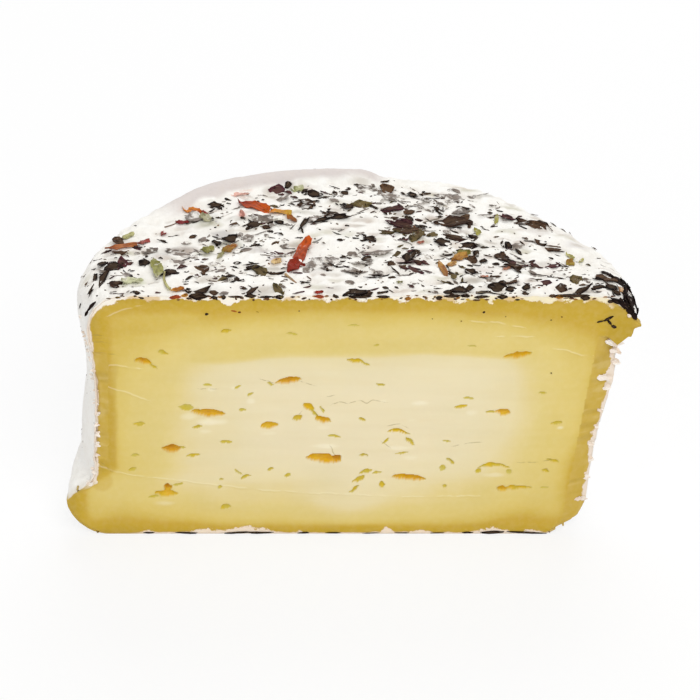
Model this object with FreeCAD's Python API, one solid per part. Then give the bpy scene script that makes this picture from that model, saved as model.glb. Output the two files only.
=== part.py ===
"""Half of a round, soft, white-mould cheese with a herb crust, cut from top to bottom.

The frame: millimetres, +Z up, the origin on the wheel's upright axis at the level it
rests on. The cut face looks along -Y, and +X is to its right as one faces it.
"""
import FreeCAD, Part
import math
import os

# --- Driving dimensions, in millimetres ---------------------------------------------------
wheel_radius = 65.0         # of the whole wheel, across the widest part of its side
wheel_height = 62.0         # over the axis, from the underside to the crust
cut_offset = 4.5            # the knife passed this far in front of the axis
top_fall = 2.8              # the top falls by this much from the left side to the right
top_crown = 1.2             # the top's rise from its shoulder to its middle
cut_rise = 1.2              # the knife left the crust standing this much higher along the cut
right_rise = 2.0            # and by this much more towards the right side
right_rise_from = 8.0       # across, where that extra rise starts
right_rise_full = 40.0      # and where it is whole
rise_reach = 24.0           # the rise fades over this distance behind the cut
shoulder_radius = 8.5       # rounding between the side and the top
base_rounding = 7.5         # width of the rounding between the side and the underside
base_height = 6.5           # and its height
side_unevenness = 0.45      # slow waves of the side
top_unevenness = 0.25       # slow waves of the top

# The wheel isn't quite round: how far its plan stands off the radius, by compass angle.
plan_offsets = {0: 1.2, 18: 1.8, 38: -0.4, 60: 1.1, 90: -1.1, 120: 0.2, 145: 0.8, 165: 0.4, 180: -0.8}

# The knife squeezed the soft sides in next to the cut, and they bulge again behind it.
left_pinch = 5.0
right_pinch = 3.0
pinch_reach = 7.0           # the squeeze fades over this distance behind the cut
left_pinch_above = 12.6     # the foot below this height kept its full width
right_pinch_band = 11.0     # only this much below the top was squeezed on the right
pinch_blend = 5.0           # height over which the squeeze sets in

# The right-hand side falls in under its shoulder and leans in further down to its foot.
right_undercut = 6.0
undercut_depth = 6.5        # below the shoulder, to where the undercut is full
right_lean = 5.4
right_foot_cut = 2.0        # extra drawn in at the very foot of this side
lean_spread = 62.0          # degrees to each side of +X over which both fade
left_waist = 2.5            # the left side is drawn in at half height, above a broad foot
foot_height = 9.0
foot_bulge = 2.2
foot_spread = 4.0
foot_elsewhere = 0.25       # share of this bulge that is left towards the back

# A low curb stands along the back left edge of the top.
curb_height = 3.2
curb_width = 3.4
curb_start = 83.0           # compass angles, in degrees
curb_end = 137.0
curb_inset = 7.5            # from the plan's edge to the curb's ridge

# A thin flap of paste that the knife dragged out at the cut's top right corner.
flap_drop = 5.5             # from the wheel's height down to its tip
flap_short = 1.0            # its tip stops this far inside the wheel's radius
flap_length = 8.0           # from its root inside the corner to its tip
flap_above = 3.4            # its root reaches this far above the tip
flap_below = 5.6            # and this far below it
flap_thickness = 2.6

# Narrow facets along the upright edges of the cut, where the paste turns back. Each one
# starts so far inside the radius at its foot and its head, and stops below the top.
right_facet = {"side": 1, "foot_in": 16.6, "head_in": 10.0, "low": -1.0, "stop": 8.5, "slope": 0.40}
left_facet = {"side": -1, "foot_in": 9.4, "head_in": 10.8, "low": 21.0, "stop": 12.5, "slope": 0.35}
facet_width = 18.0          # from a facet's inner edge out past the side

# Holes in the paste: across and up as shares of the radius and the height, then the
# width, height and depth in millimetres and the slope of the hole's length in degrees.
holes = [
    (-0.71, 0.755, 3.9, 2.1, 2.6, -14),
    (-0.22, 0.675, 6.2, 2.5, 3.0, 6),
    (-0.50, 0.540, 7.4, 2.4, 2.8, -6),
    (-0.29, 0.480, 3.9, 2.3, 2.0, 10),
    (-0.63, 0.380, 4.3, 2.9, 3.2, -3),
    (-0.67, 0.170, 6.2, 2.4, 2.8, -2),
    (-0.09, 0.335, 8.2, 3.0, 3.4, -8),
    (-0.10, 0.505, 3.9, 2.4, 2.4, -12),
    (-0.14, 0.555, 2.8, 2.4, 1.6, -50),
    (0.01, 0.760, 4.2, 1.6, 1.4, -10),
    (0.57, 0.780, 6.4, 2.0, 2.6, 12),
    (0.52, 0.540, 4.6, 2.2, 2.4, -6),
    (0.18, 0.425, 5.6, 3.0, 2.2, -6),
    (0.21, 0.250, 7.2, 2.1, 2.6, -4),
    (0.50, 0.290, 7.2, 2.6, 2.0, 0),
    (0.58, 0.207, 7.8, 1.7, 2.4, 4),
]
hole_rise = 28.0            # the holes run inwards and upwards by this angle

# --- How finely the skin is laid out ------------------------------------------------------
steps_around = 90
base_steps = 5
foot_heights = [8.6, 9.8, 11.2, 12.8, 14.8, 17.6]
side_steps = 6
shoulder_steps = 5
top_shares = [0.93, 0.84, 0.74, 0.62, 0.50, 0.38, 0.26, 0.16]
top_pole = (0.0, 26.0)      # the skin's rows close round this point, well behind the cut


def blend(x, start, end):
    """Smooth step from 0 at start to 1 at end."""
    t = min(max((x - start) / (end - start), 0.0), 1.0)
    return t * t * (3.0 - 2.0 * t)


def bump(x, middle, spread):
    """Smooth hill of height 1."""
    return math.exp(-((x - middle) / spread) ** 2)


def plan_radius(angle):
    """Radius of the wheel's plan at a compass angle in degrees, 0 along +X, 90 to the back."""
    known = sorted(plan_offsets)
    around = angle % 360.0
    if around > known[-1]:
        # the front half is cut away: it only joins one side of the cut to the other
        known = [known[-1], 360.0]
    high = min(mark for mark in known if mark >= around)
    low = max(mark for mark in known if mark <= around)
    share = blend(around, low, high) if high > low else 0.0
    return wheel_radius + (1.0 - share) * plan_offsets[low % 360] + share * plan_offsets[high % 360]


def top_height(x):
    """Height of the top's plane: it falls a little from left to right."""
    return wheel_height - top_fall * x / (2.0 * wheel_radius)


def squeeze(angle, height):
    """How far the knife drew the side in, at the given angle and height."""
    behind = max(plan_radius(angle) * math.sin(math.radians(angle)) + cut_offset, 0.0)
    fade = math.exp(-behind / pinch_reach)
    if math.cos(math.radians(angle)) < 0.0:
        low = left_pinch_above - pinch_blend / 2.0
        return left_pinch * fade * blend(height, low, low + pinch_blend)
    low = wheel_height - right_pinch_band - pinch_blend / 2.0
    return right_pinch * fade * blend(height, low, low + pinch_blend)


def side_inset(angle, height):
    """How far the side lies inside the plan at this angle and height, without roundings."""
    from_right = abs((angle + 180.0) % 360.0 - 180.0)
    right = 1.0 - blend(from_right, 0.0, lean_spread)
    left = 1.0 - blend(180.0 - from_right, 20.0, 75.0)
    up = height / wheel_height
    shoulder = wheel_height - shoulder_radius
    inset = right * right_undercut * (1.0 - blend(height, shoulder - undercut_depth, shoulder))
    inset += right * right_lean * (1.0 - blend(up, 0.12, 0.85))
    inset += right * right_foot_cut * (1.0 - blend(height, 0.0, 1.4 * base_height))
    inset += left * left_waist * bump(up, 0.6, 0.28)
    foot = left + foot_elsewhere * (1.0 - left)
    inset -= (1.0 - 0.9 * right) * foot * foot_bulge * bump(height, foot_height, foot_spread)
    waves = math.sin(math.radians(5.0 * angle) + 6.0 * up) + math.sin(math.radians(11.0 * angle) - 9.0 * up)
    inset += side_unevenness * waves * math.sin(math.pi * up)
    return inset + squeeze(angle, height)


def curb(angle, inset):
    """Height of the curb at this angle and distance inside the plan's edge."""
    along = blend(angle, curb_start - 2.0, curb_start + 2.0)
    along *= 1.0 - blend(angle, curb_end - 12.0, curb_end + 6.0)
    return curb_height * along * bump(inset, curb_inset, curb_width)


def lift(point):
    """How much higher the crust stands at this point than on the rest of the top."""
    behind = max(point.y + cut_offset, 0.0)
    fade = 1.0 - blend(behind, 0.0, rise_reach)
    return fade * (cut_rise + right_rise * blend(point.x, right_rise_from, right_rise_full))


def skin_point(angle, inset, height):
    """Point of the skin at a compass angle, a distance inside the plan and a height."""
    radius = plan_radius(angle) - inset
    turn = math.radians(angle)
    return FreeCAD.Vector(radius * math.cos(turn), radius * math.sin(turn), height)


def skin_column(angle):
    """Points of the skin from the underside's edge over the side and the shoulder to the top."""
    column = []
    edge_x = plan_radius(angle) * math.cos(math.radians(angle))
    rim = top_height(edge_x) - shoulder_radius
    for step in range(base_steps):
        turn = math.radians(90.0 * step / base_steps)
        inset = base_rounding * (1.0 - math.sin(turn))
        height = base_height * (1.0 - math.cos(turn))
        column.append(skin_point(angle, side_inset(angle, height) + inset, height))
    heights = list(foot_heights)
    for step in range(1, side_steps):
        heights.append(foot_heights[-1] + (rim - foot_heights[-1]) * step / side_steps)
    for height in heights:
        column.append(skin_point(angle, side_inset(angle, height), height))
    rim_inset = side_inset(angle, rim)
    for step in range(shoulder_steps):
        turn = math.radians(90.0 * step / shoulder_steps)
        inset = rim_inset + shoulder_radius * (1.0 - math.cos(turn))
        height = rim + shoulder_radius * math.sin(turn)
        point = skin_point(angle, inset, height + curb(angle, inset))
        point.z += math.sin(turn) * lift(point)
        column.append(point)
    crest = skin_point(angle, rim_inset + shoulder_radius, 0.0)
    for share in [1.0] + top_shares:
        x = top_pole[0] + share * (crest.x - top_pole[0])
        y = top_pole[1] + share * (crest.y - top_pole[1])
        inset = plan_radius(angle) - math.hypot(crest.x, crest.y) + (1.0 - share) * wheel_radius
        waves = math.sin(x / 9.0 + 1.0) * math.cos(y / 11.0) + math.sin((x + y) / 6.5)
        settle = blend(share, top_shares[-1], 0.6)
        rise = top_crown * (1.0 - blend(share, 0.3, 1.0)) + top_unevenness * waves * settle
        point = FreeCAD.Vector(x, y, top_height(x * settle) + rise + curb(angle, inset) * settle)
        point.z += lift(point) * blend(share, top_shares[-1], top_shares[-2])
        column.append(point)
    return column


def make_wheel():
    """The whole wheel: one closed smooth skin, a flat underside and a flat middle of the top."""
    columns = [skin_column(-90.0 + 360.0 * step / steps_around) for step in range(steps_around)]
    rows = len(columns[0])
    degree = 3
    around = list(range(steps_around + 1))
    upward = list(range(rows - degree + 1))
    ends = [degree + 1] + [1] * (len(upward) - 2) + [degree + 1]
    surface = Part.BSplineSurface()
    surface.buildFromPolesMultsKnots(columns, [1] * len(around), ends, around, upward,
                                     True, False, degree, degree)
    skin = surface.toShape()
    caps = [Part.Face(Part.Wire([edge])) for edge in skin.Edges if edge.isClosed()]
    shell = Part.makeShell([skin] + caps)
    shell.sewShape()
    return Part.Solid(shell)


def make_flap():
    """The dragged-out flap, drawn through the cut plane so that the knife trims it."""
    tip_x = wheel_radius - flap_short
    tip_z = wheel_height - flap_drop
    root_x = tip_x - flap_length
    corners = [(root_x, tip_z + flap_above), (tip_x, tip_z), (root_x, tip_z - flap_below)]
    ahead = 2.0
    points = [FreeCAD.Vector(x, -cut_offset - ahead, z) for x, z in corners]
    outline = Part.makePolygon(points + [points[0]])
    return Part.Face(outline).extrude(FreeCAD.Vector(0, flap_thickness + ahead, 0))


def make_facet(facet):
    """A slanting wedge that turns the paste back along one upright edge of the cut."""
    side = facet["side"]
    inner = side * (wheel_radius - facet["foot_in"])
    outer = inner + side * facet_width
    ahead = -cut_offset - 1.0
    behind = facet["slope"] * facet_width - cut_offset
    corners = [(inner, ahead), (inner, -cut_offset), (outer, behind), (outer, ahead)]
    points = [FreeCAD.Vector(x, y, facet["low"]) for x, y in corners]
    outline = Part.makePolygon(points + [points[0]])
    lean = side * (facet["foot_in"] - facet["head_in"])
    rise = wheel_height - facet["stop"] - facet["low"]
    return Part.Face(outline).extrude(FreeCAD.Vector(lean, 0, rise))


def make_hole(across, up, width, height, depth, slope):
    """One hole: an ellipsoid sunk into the cut face that runs inwards and upwards."""
    hole = Part.makeSphere(0.5)
    size = FreeCAD.Matrix()
    size.scale(width, 2.0 * depth, height)
    hole = hole.transformGeometry(size)
    hole.rotate(FreeCAD.Vector(0, 0, 0), FreeCAD.Vector(1, 0, 0), hole_rise)
    hole.rotate(FreeCAD.Vector(0, 0, 0), FreeCAD.Vector(0, -1, 0), slope)
    hole.translate(FreeCAD.Vector(across * wheel_radius, -cut_offset, up * wheel_height))
    return hole


def make_half():
    """The half wheel as it lies: the wheel and its flap behind the cut, without the holes."""
    room = 2.0 * wheel_radius
    behind_cut = Part.makeBox(2.0 * room, room, 2.0 * wheel_height,
                              FreeCAD.Vector(-room, -cut_offset, -wheel_height / 2.0))
    half = make_wheel().fuse(make_flap()).common(behind_cut)
    for facet in (right_facet, left_facet):
        half = half.cut(make_facet(facet))
    for hole in holes:
        half = half.cut(make_hole(*hole))
    return half.Solids[0]


cheese_half = make_half()
os.makedirs("parts", exist_ok=True)
cheese_half.exportStep("parts/cheese_half.step")
print("solids", len(cheese_half.Solids), "valid", cheese_half.isValid())
print("volume_cm3", round(cheese_half.Volume / 1000.0, 1), "box", cheese_half.BoundBox)
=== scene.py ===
import math
import random
from itertools import product

import bmesh
import bpy
import numpy as np
from mathutils import Matrix, Vector
from mathutils.bvhtree import BVHTree


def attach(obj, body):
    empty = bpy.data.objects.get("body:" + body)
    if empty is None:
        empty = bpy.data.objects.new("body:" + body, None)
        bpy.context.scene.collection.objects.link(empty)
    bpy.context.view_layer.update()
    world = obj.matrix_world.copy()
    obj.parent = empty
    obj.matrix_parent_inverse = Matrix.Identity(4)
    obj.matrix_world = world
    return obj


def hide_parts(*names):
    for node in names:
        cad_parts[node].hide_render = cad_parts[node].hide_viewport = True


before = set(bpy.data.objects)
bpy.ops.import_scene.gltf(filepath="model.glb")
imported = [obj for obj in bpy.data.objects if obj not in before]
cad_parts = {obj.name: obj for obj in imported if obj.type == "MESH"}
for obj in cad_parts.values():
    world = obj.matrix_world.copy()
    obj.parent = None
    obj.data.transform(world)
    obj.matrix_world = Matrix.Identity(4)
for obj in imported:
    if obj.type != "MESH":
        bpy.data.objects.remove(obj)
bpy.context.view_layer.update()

scene = bpy.context.scene
scene.view_settings.view_transform = "Standard"

# Sizes are in millimetres in the same frame as the solid, and MM turns them into metres.
MM = 0.001
CUT = -4.5                  # the knife's plane
WHEEL = 65.0                # radius of the wheel
PASTE_VOXEL = 0.40
PASTE_DEPTH = 10.5          # the paste's piece reaches this far behind the cut, into the rind's
RIND_VOXEL = 0.80
RIND_THICK = 0.35
CRUST_TOP = 63.8            # the height at which the paste meets the top's crust

# How many of each kind of small herb lie loose.
LOOSE_LEAVES = 760
SHREDS = 330
TOP_SPECKS = 620
SIDE_SPECKS = 420
SIDE_LEAVES = 46
FOOT_LEAVES = 420


# --- Small tools ---------------------------------------------------------------------------
def opened(mesh):
    """A bmesh that holds what the mesh does."""
    form = bmesh.new()
    form.from_mesh(mesh)
    return form


def closed(form, mesh):
    """Writes a bmesh into the mesh and frees it."""
    form.to_mesh(mesh)
    form.free()
    return mesh


def spot_at(x, y, z):
    """A point given in millimetres, as a place in the scene."""
    return Vector((x * MM, y * MM, z * MM))


def linear(code):
    """Scene colour of a #RRGGBB code."""
    values = [int(code[i:i + 2], 16) / 255.0 for i in (1, 3, 5)]
    return [v / 12.92 if v <= 0.04045 else ((v + 0.055) / 1.055) ** 2.4 for v in values]


def blend(x, start, end):
    """Smooth step from 0 at start to 1 at end, for numbers and for arrays."""
    t = np.clip((x - start) / (end - start), 0.0, 1.0)
    return t * t * (3.0 - 2.0 * t)


def bump(x, middle, spread):
    """Smooth hill of height 1."""
    return np.exp(-((x - middle) / spread) ** 2)


def lumps(points, size, seed=0):
    """Smooth random values from -1 to 1, with lumps about this many millimetres across."""
    scaled = points / size + seed * 7.317
    cell = np.floor(scaled).astype(np.int64)
    inside = scaled - cell
    inside = inside * inside * (3.0 - 2.0 * inside)
    total = np.zeros(len(points))
    for corner in product((0, 1), repeat=3):
        at = cell + np.array(corner)
        code = (at[:, 0] * 73856093) ^ (at[:, 1] * 19349663) ^ (at[:, 2] * 83492791)
        code = (code ^ (code >> 13)) * 1274126177 & 0x7FFFFFFF
        code = (code ^ (code >> 15)) * 668265263 & 0x7FFFFFFF
        value = (code >> 7) / float(0x7FFFFFFF >> 7) * 2.0 - 1.0
        weight = np.prod(np.where(np.array(corner), inside, 1.0 - inside), axis=1)
        total += value * weight
    return total


def ramp(values, stops):
    """Colours along a list of (position, #RRGGBB) stops."""
    marks = [mark for mark, _ in stops]
    shades = np.array([linear(code) for _, code in stops])
    return np.stack([np.interp(values, marks, shades[:, i]) for i in range(3)], axis=1)


def mixed(first, second, share):
    """Colours that turn from first to second, which may be a code, with a share from 0 to 1."""
    share = np.clip(share, 0.0, 1.0)[:, None]
    if isinstance(second, str):
        second = linear(second)
    return first * (1.0 - share) + np.asarray(second) * share


def new_object(name, mesh):
    piece = bpy.data.objects.new(name, mesh)
    scene.collection.objects.link(piece)
    return piece


def from_bmesh(name, form):
    mesh = bpy.data.meshes.new(name)
    closed(form, mesh)
    return new_object(name, mesh)


def places(mesh):
    """The mesh's points in millimetres."""
    flat = np.empty(len(mesh.vertices) * 3)
    mesh.vertices.foreach_get("co", flat)
    return flat.reshape(-1, 3) / MM


def directions(mesh):
    flat = np.empty(len(mesh.vertices) * 3)
    mesh.vertices.foreach_get("normal", flat)
    return flat.reshape(-1, 3)


def put(mesh, points):
    mesh.vertices.foreach_set("co", (points * MM).ravel())
    mesh.update()


def store(mesh, name, values):
    """Keeps one number or one colour for each point."""
    if values.ndim == 1:
        layer = mesh.attributes.new(name, "FLOAT", "POINT")
        layer.data.foreach_set("value", values)
    else:
        layer = mesh.attributes.new(name, "FLOAT_COLOR", "POINT")
        full = np.concatenate([values, np.ones((len(values), 1))], axis=1)
        layer.data.foreach_set("color", full.ravel())


def finish_modifiers(piece):
    """Makes the piece's modifiers part of its mesh."""
    seen = piece.evaluated_get(bpy.context.evaluated_depsgraph_get())
    mesh = bpy.data.meshes.new_from_object(seen)
    piece.modifiers.clear()
    piece.data = mesh


def remesh(piece, voxel):
    fine = piece.modifiers.new("even", "REMESH")
    fine.mode = "VOXEL"
    fine.voxel_size = voxel * MM
    finish_modifiers(piece)


def smooth(piece):
    piece.data.polygons.foreach_set("use_smooth", [True] * len(piece.data.polygons))


def own(piece, look, replaced=False):
    """Gives the piece its material and its body, and hides the solid when the piece replaces it."""
    piece.data.materials.clear()
    piece.data.materials.append(look)
    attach(piece, "root")
    if replaced:
        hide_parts("cheese_half")


# --- The solid, and which of its faces are rind ------------------------------------------------
solid = new_object("solid_copy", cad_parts["cheese_half"].data.copy())
form = opened(solid.data)
bmesh.ops.remove_doubles(form, verts=form.verts, dist=1e-6)
closed(form, solid.data)

FRONT, FACET, HOLE, SKIN = range(4)
LEDGES = (21.0, 49.5, 53.5)     # heights at which the facets end


def kind_of(face):
    """Tells the cut, its side facets, its holes and the rind apart."""
    x, y, z = face.center / MM
    if abs(y - CUT) < 0.001:
        return FRONT
    if abs(x) > 47.0 and face.normal.y < -0.85 and z < 54.0 and y < 6.0:
        return FACET
    on_ledge = min(abs(z - ledge) for ledge in LEDGES) < 0.3
    if abs(x) > 47.0 and abs(face.normal.z) > 0.95 and y < 4.0 and on_ledge:
        return FACET
    if abs(x) < 50.0 and 2.6 < z < 58.0 and y < 3.0:
        return HOLE
    if x > 54.5 and 50.0 < z < 60.5 and y < CUT + 2.7 and face.normal.z < 0.75:
        return FRONT
    return SKIN


kinds = [kind_of(face) for face in solid.data.polygons]
solid_points = [vertex.co.copy() for vertex in solid.data.vertices]
solid_faces = [tuple(face.vertices) for face in solid.data.polygons]
any_face = BVHTree.FromPolygons(solid_points, solid_faces)
skin_faces = [face for face, kind in zip(solid_faces, kinds) if kind == SKIN]
any_skin = BVHTree.FromPolygons(solid_points, skin_faces)
cut_faces = [face for face, kind in zip(solid_faces, kinds) if kind in (FRONT, FACET)]
any_cut = BVHTree.FromPolygons(solid_points, cut_faces)


def read_solid(mesh, reach=70.0):
    """For each point: the kind of solid face it lies on, its distance from the rind in
    millimetres, and the rind's direction there."""
    count = len(mesh.vertices)
    kind = np.empty(count, dtype=int)
    distance = np.full(count, reach)
    towards = np.zeros((count, 3))
    for i, vertex in enumerate(mesh.vertices):
        kind[i] = kinds[any_face.find_nearest(vertex.co)[2]]
        if kind[i] == SKIN:
            distance[i] = 0.0
            towards[i] = vertex.normal
            continue
        _, normal, _, away = any_skin.find_nearest(vertex.co)
        distance[i] = away / MM
        towards[i] = normal
    return kind, distance, towards


def mould_relief(points, normals):
    """How far the rind stands out at each point: puffy pillows on top, smoother elsewhere."""
    upward = blend(normals[:, 2], 0.25, 0.75)
    downward = blend(-normals[:, 2], 0.35, 0.8)
    sideways = 1.0 - np.maximum(upward, downward)
    pillows = 1.0 - np.abs(lumps(points, 5.2, 21)) * 1.7
    pillows = pillows + 0.5 * (1.0 - np.abs(lumps(points, 2.5, 22)) * 1.8)
    fluff = lumps(points, 1.4, 23)
    relief = upward * (0.38 * (pillows - 0.9) + 0.24 * fluff + 0.14 * lumps(points, 0.8, 27))
    relief += sideways * (0.22 * lumps(points, 6.0, 24) + 0.10 * lumps(points, 2.0, 25) + 0.05 * fluff)
    relief += downward * (0.16 * lumps(points, 4.0, 26) + 0.08 * fluff)
    relief *= 0.55 + 0.45 * blend(points[:, 1] - CUT, 0.2, 2.5)
    turned = np.degrees(np.arctan2(points[:, 1], points[:, 0]))
    radius = np.hypot(points[:, 0], points[:, 1]) + 0.8 * lumps(points, 4.0, 44)
    on_curb = blend(turned, 80.0, 85.0) * (1.0 - blend(turned, 133.0, 143.0)) * blend(radius, 53.6, 55.2)
    on_curb = on_curb * blend(points[:, 2], 46.0, 54.0)
    return relief * (1.0 - 0.75 * on_curb), on_curb, sideways


def pulled_in(points):
    """The side is drawn in a little right under the flap, and pared aslant at the foot."""
    fading = 1.0 - blend(points[:, 1], 4.0, 28.0)
    deep = 2.3 * bump(points[:, 2], 49.3, 4.6) * blend(points[:, 0], 54.0, 61.0)
    pared = 1.9 * bump(points[:, 2], 1.3, 1.9) * blend(points[:, 0], 41.0, 49.0)
    return (deep + pared) * fading


# --- Paste: the body of the cheese, whose cut face shows ---------------------------------------
# Holes: across, up, width, height and depth in millimetres, slope in degrees, which way the
# highest point leans (-1 to 1), and how much of the hole under its upper lip is open.
eyes = [
    (-46.4, 47.0, 3.9, 2.0, 2.6, -12, 0.5, 1.0), (-44.3, 45.8, 2.4, 0.6, 0.7, -38, 0.0, 1.0),
    (-14.1, 42.0, 6.2, 1.9, 2.8, 8, 0.6, 1.0), (-18.0, 41.2, 1.8, 0.6, 0.6, -20, 0.0, 1.0),
    (-32.4, 33.5, 7.6, 2.2, 2.6, -5, 0.0, 1.0), (-37.2, 34.9, 3.4, 1.9, 0.5, -10, 0.3, 1.0),
    (-18.6, 30.0, 4.0, 2.0, 2.2, 8, 0.6, 1.0), (-41.1, 23.8, 4.4, 2.4, 3.0, 0, 0.1, 1.0),
    (-38.6, 24.2, 1.8, 0.8, 0.6, 0, 0.0, 1.0), (-36.0, 22.2, 3.2, 1.0, 0.9, 10, 0.4, 1.0),
    (-42.6, 11.4, 5.6, 1.9, 2.0, -2, 0.2, 1.0), (-42.2, 13.0, 2.2, 1.9, 2.8, 20, 0.3, 1.0),
    (-45.6, 10.6, 3.0, 0.7, 0.5, 0, 0.0, 1.0), (-39.8, 13.9, 2.2, 0.7, 0.6, 12, 0.0, 1.0),
    (-6.2, 21.0, 8.2, 2.8, 2.6, -7, -0.2, 1.0), (-3.4, 21.0, 2.2, 2.4, 3.4, -50, 0.2, 1.0),
    (-6.4, 31.6, 3.8, 2.2, 2.4, -10, -0.2, 1.0), (-9.6, 35.2, 3.0, 1.9, 1.7, -28, -0.5, 1.0),
    (-8.2, 33.4, 3.2, 0.8, 0.9, -52, 0.0, 1.0), (-6.6, 34.4, 2.0, 0.7, 0.6, -70, 0.0, 1.0),
    (-12.2, 32.2, 2.4, 1.4, 1.5, 20, 0.4, 1.0), (0.9, 47.3, 3.8, 1.2, 1.4, -8, -0.2, 1.0),
    (3.2, 46.5, 2.4, 0.5, 0.6, -22, 0.0, 1.0), (37.3, 48.6, 6.4, 1.7, 2.4, 10, 0.7, 1.0),
    (34.4, 33.6, 3.6, 2.0, 2.2, -5, 0.4, 1.0), (31.6, 33.7, 2.6, 0.9, 0.8, -4, 0.0, 1.0),
    (10.8, 27.9, 5.4, 2.6, 1.5, -6, 0.0, 0.34), (13.4, 25.8, 3.2, 0.9, 1.0, -52, 0.0, 1.0),
    (8.0, 26.0, 2.6, 0.7, 0.6, 48, 0.0, 1.0), (13.4, 15.8, 7.6, 1.9, 2.6, -5, -0.4, 1.0),
    (32.7, 18.4, 7.6, 2.8, 1.2, 0, 0.0, 0.30), (29.5, 17.6, 1.4, 1.6, 0.7, 60, 0.0, 1.0),
    (36.0, 17.4, 1.6, 1.4, 0.6, -60, 0.0, 1.0), (37.9, 13.0, 8.0, 1.2, 1.5, 4, -0.7, 1.0),
    (35.0, 12.7, 2.4, 1.7, 2.2, 0, 0.0, 1.0), (-27.7, 54.8, 2.4, 1.2, 1.1, 0, 0.3, 1.0),
    (-41.9, 49.4, 2.4, 1.0, 0.9, -8, 0.0, 1.0), (-48.1, 30.5, 2.8, 0.9, 0.8, -5, 0.3, 1.0),
    (-49.2, 22.1, 1.8, 0.7, 0.6, 5, 0.0, 1.0), (-50.1, 18.0, 2.2, 0.9, 0.7, 22, 0.0, 1.0),
    (-35.0, 29.7, 2.6, 0.9, 0.9, 12, 0.2, 1.0), (-28.5, 25.7, 2.8, 0.8, 0.6, 0, 0.0, 1.0),
    (-29.0, 7.6, 2.4, 1.2, 0.9, 14, 0.2, 1.0), (-24.2, 15.8, 2.8, 1.5, 0.9, 30, 0.0, 0.5),
    (-26.0, 17.2, 2.6, 0.6, 0.5, -42, 0.0, 1.0), (-18.4, 18.0, 1.8, 1.2, 0.7, 30, 0.0, 0.6),
    (-29.8, 15.2, 1.4, 0.7, 0.6, 20, 0.0, 1.0), (-30.2, 13.2, 1.2, 0.8, 0.5, 20, 0.0, 1.0),
    (-3.8, 27.3, 3.2, 0.8, 0.6, -8, 0.0, 1.0), (-24.6, 34.3, 1.6, 0.8, 0.5, 0, 0.0, 1.0),
    (-14.6, 16.6, 1.6, 1.0, 0.7, 40, 0.0, 1.0), (2.5, 31.6, 1.6, 1.1, 0.9, -20, 0.0, 1.0),
    (2.8, 22.1, 2.2, 0.9, 0.9, -6, 0.0, 1.0), (3.4, 17.6, 3.4, 1.1, 1.0, 20, 0.0, 1.0),
    (1.8, 15.4, 3.4, 1.2, 1.2, 30, 0.0, 1.0), (0.6, 12.6, 3.4, 0.8, 1.1, 48, 0.0, 1.0),
    (5.8, 17.2, 2.4, 0.7, 0.7, 0, 0.0, 1.0), (7.2, 13.8, 1.6, 2.2, 1.0, 10, 0.0, 1.0),
    (6.8, 41.0, 2.2, 0.8, 0.8, -8, 0.0, 1.0), (22.9, 20.4, 2.6, 0.8, 0.9, -45, 0.0, 1.0),
    (21.0, 18.6, 1.8, 1.5, 0.5, 70, 0.0, 1.0), (24.7, 35.1, 3.2, 1.0, 1.0, 8, 0.0, 1.0),
    (26.4, 37.5, 3.2, 0.7, 0.4, -6, 0.0, 1.0), (43.3, 38.8, 1.8, 0.7, 0.7, 0, 0.0, 1.0),
    (46.8, 30.8, 2.6, 1.0, 1.0, 0, -0.3, 1.0), (46.3, 20.5, 2.6, 0.8, 0.9, -12, 0.3, 1.0),
    (44.6, 17.7, 1.8, 1.0, 0.9, -20, -0.3, 1.0), (21.7, 13.5, 1.2, 0.8, 0.7, -10, 0.0, 1.0),
    (21.9, 25.9, 2.0, 0.5, 0.5, -18, 0.0, 1.0), (27.0, 51.2, 2.4, 0.6, 0.5, 0, 0.0, 1.0),
    (0.5, 56.4, 3.0, 0.5, 0.4, -3, 0.0, 1.0), (5.6, 51.4, 1.6, 0.6, 0.4, 12, 0.0, 1.0),
    (-13.0, 54.2, 3.0, 0.6, 0.4, -5, 0.0, 1.0), (44.8, 13.0, 2.2, 0.6, 0.4, 8, 0.0, 1.0),
    (-32.1, 41.0, 2.2, 0.7, 0.4, 0, 0.0, 1.0), (-25.4, 40.4, 1.8, 0.8, 0.4, 20, 0.0, 1.0),
    (-22.6, 38.4, 2.0, 0.6, 0.5, 34, 0.0, 1.0), (11.6, 22.6, 3.0, 0.6, 0.6, 8, 0.0, 1.0),
]
# Slight cracks and the fine ridges that the knife left, as lines of (across, up) points.
cracks = [
    [(-3.6, 22.0), (-4.4, 24.4)], [(-0.2, 36.2), (2.0, 36.8), (3.6, 36.0), (5.2, 36.9), (7.6, 36.4)],
    [(-5.4, 37.9), (-4.2, 38.2)], [(-3.8, 36.0), (-2.6, 36.6), (-1.2, 36.2)],
    [(-19.6, 42.4), (-17.4, 41.6)], [(-11.0, 41.8), (-8.6, 41.0)], [(-11.0, 34.0), (-12.4, 32.8)],
    [(8.6, 24.4), (7.2, 25.4)], [(38.6, 20.0), (45.6, 20.6)], [(23.6, 24.6), (29.4, 25.6)],
    [(9.0, 30.2), (11.4, 30.6), (12.6, 29.6)], [(-58.6, 21.4), (-57.0, 19.8), (-55.4, 18.0)],
    [(-34.0, 40.0), (-30.2, 40.0)], [(-59.0, 49.6), (-52.8, 49.0)], [(-58.0, 52.6), (-54.0, 52.0)],
    [(-58.6, 54.4), (-55.6, 53.8)],
]
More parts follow.
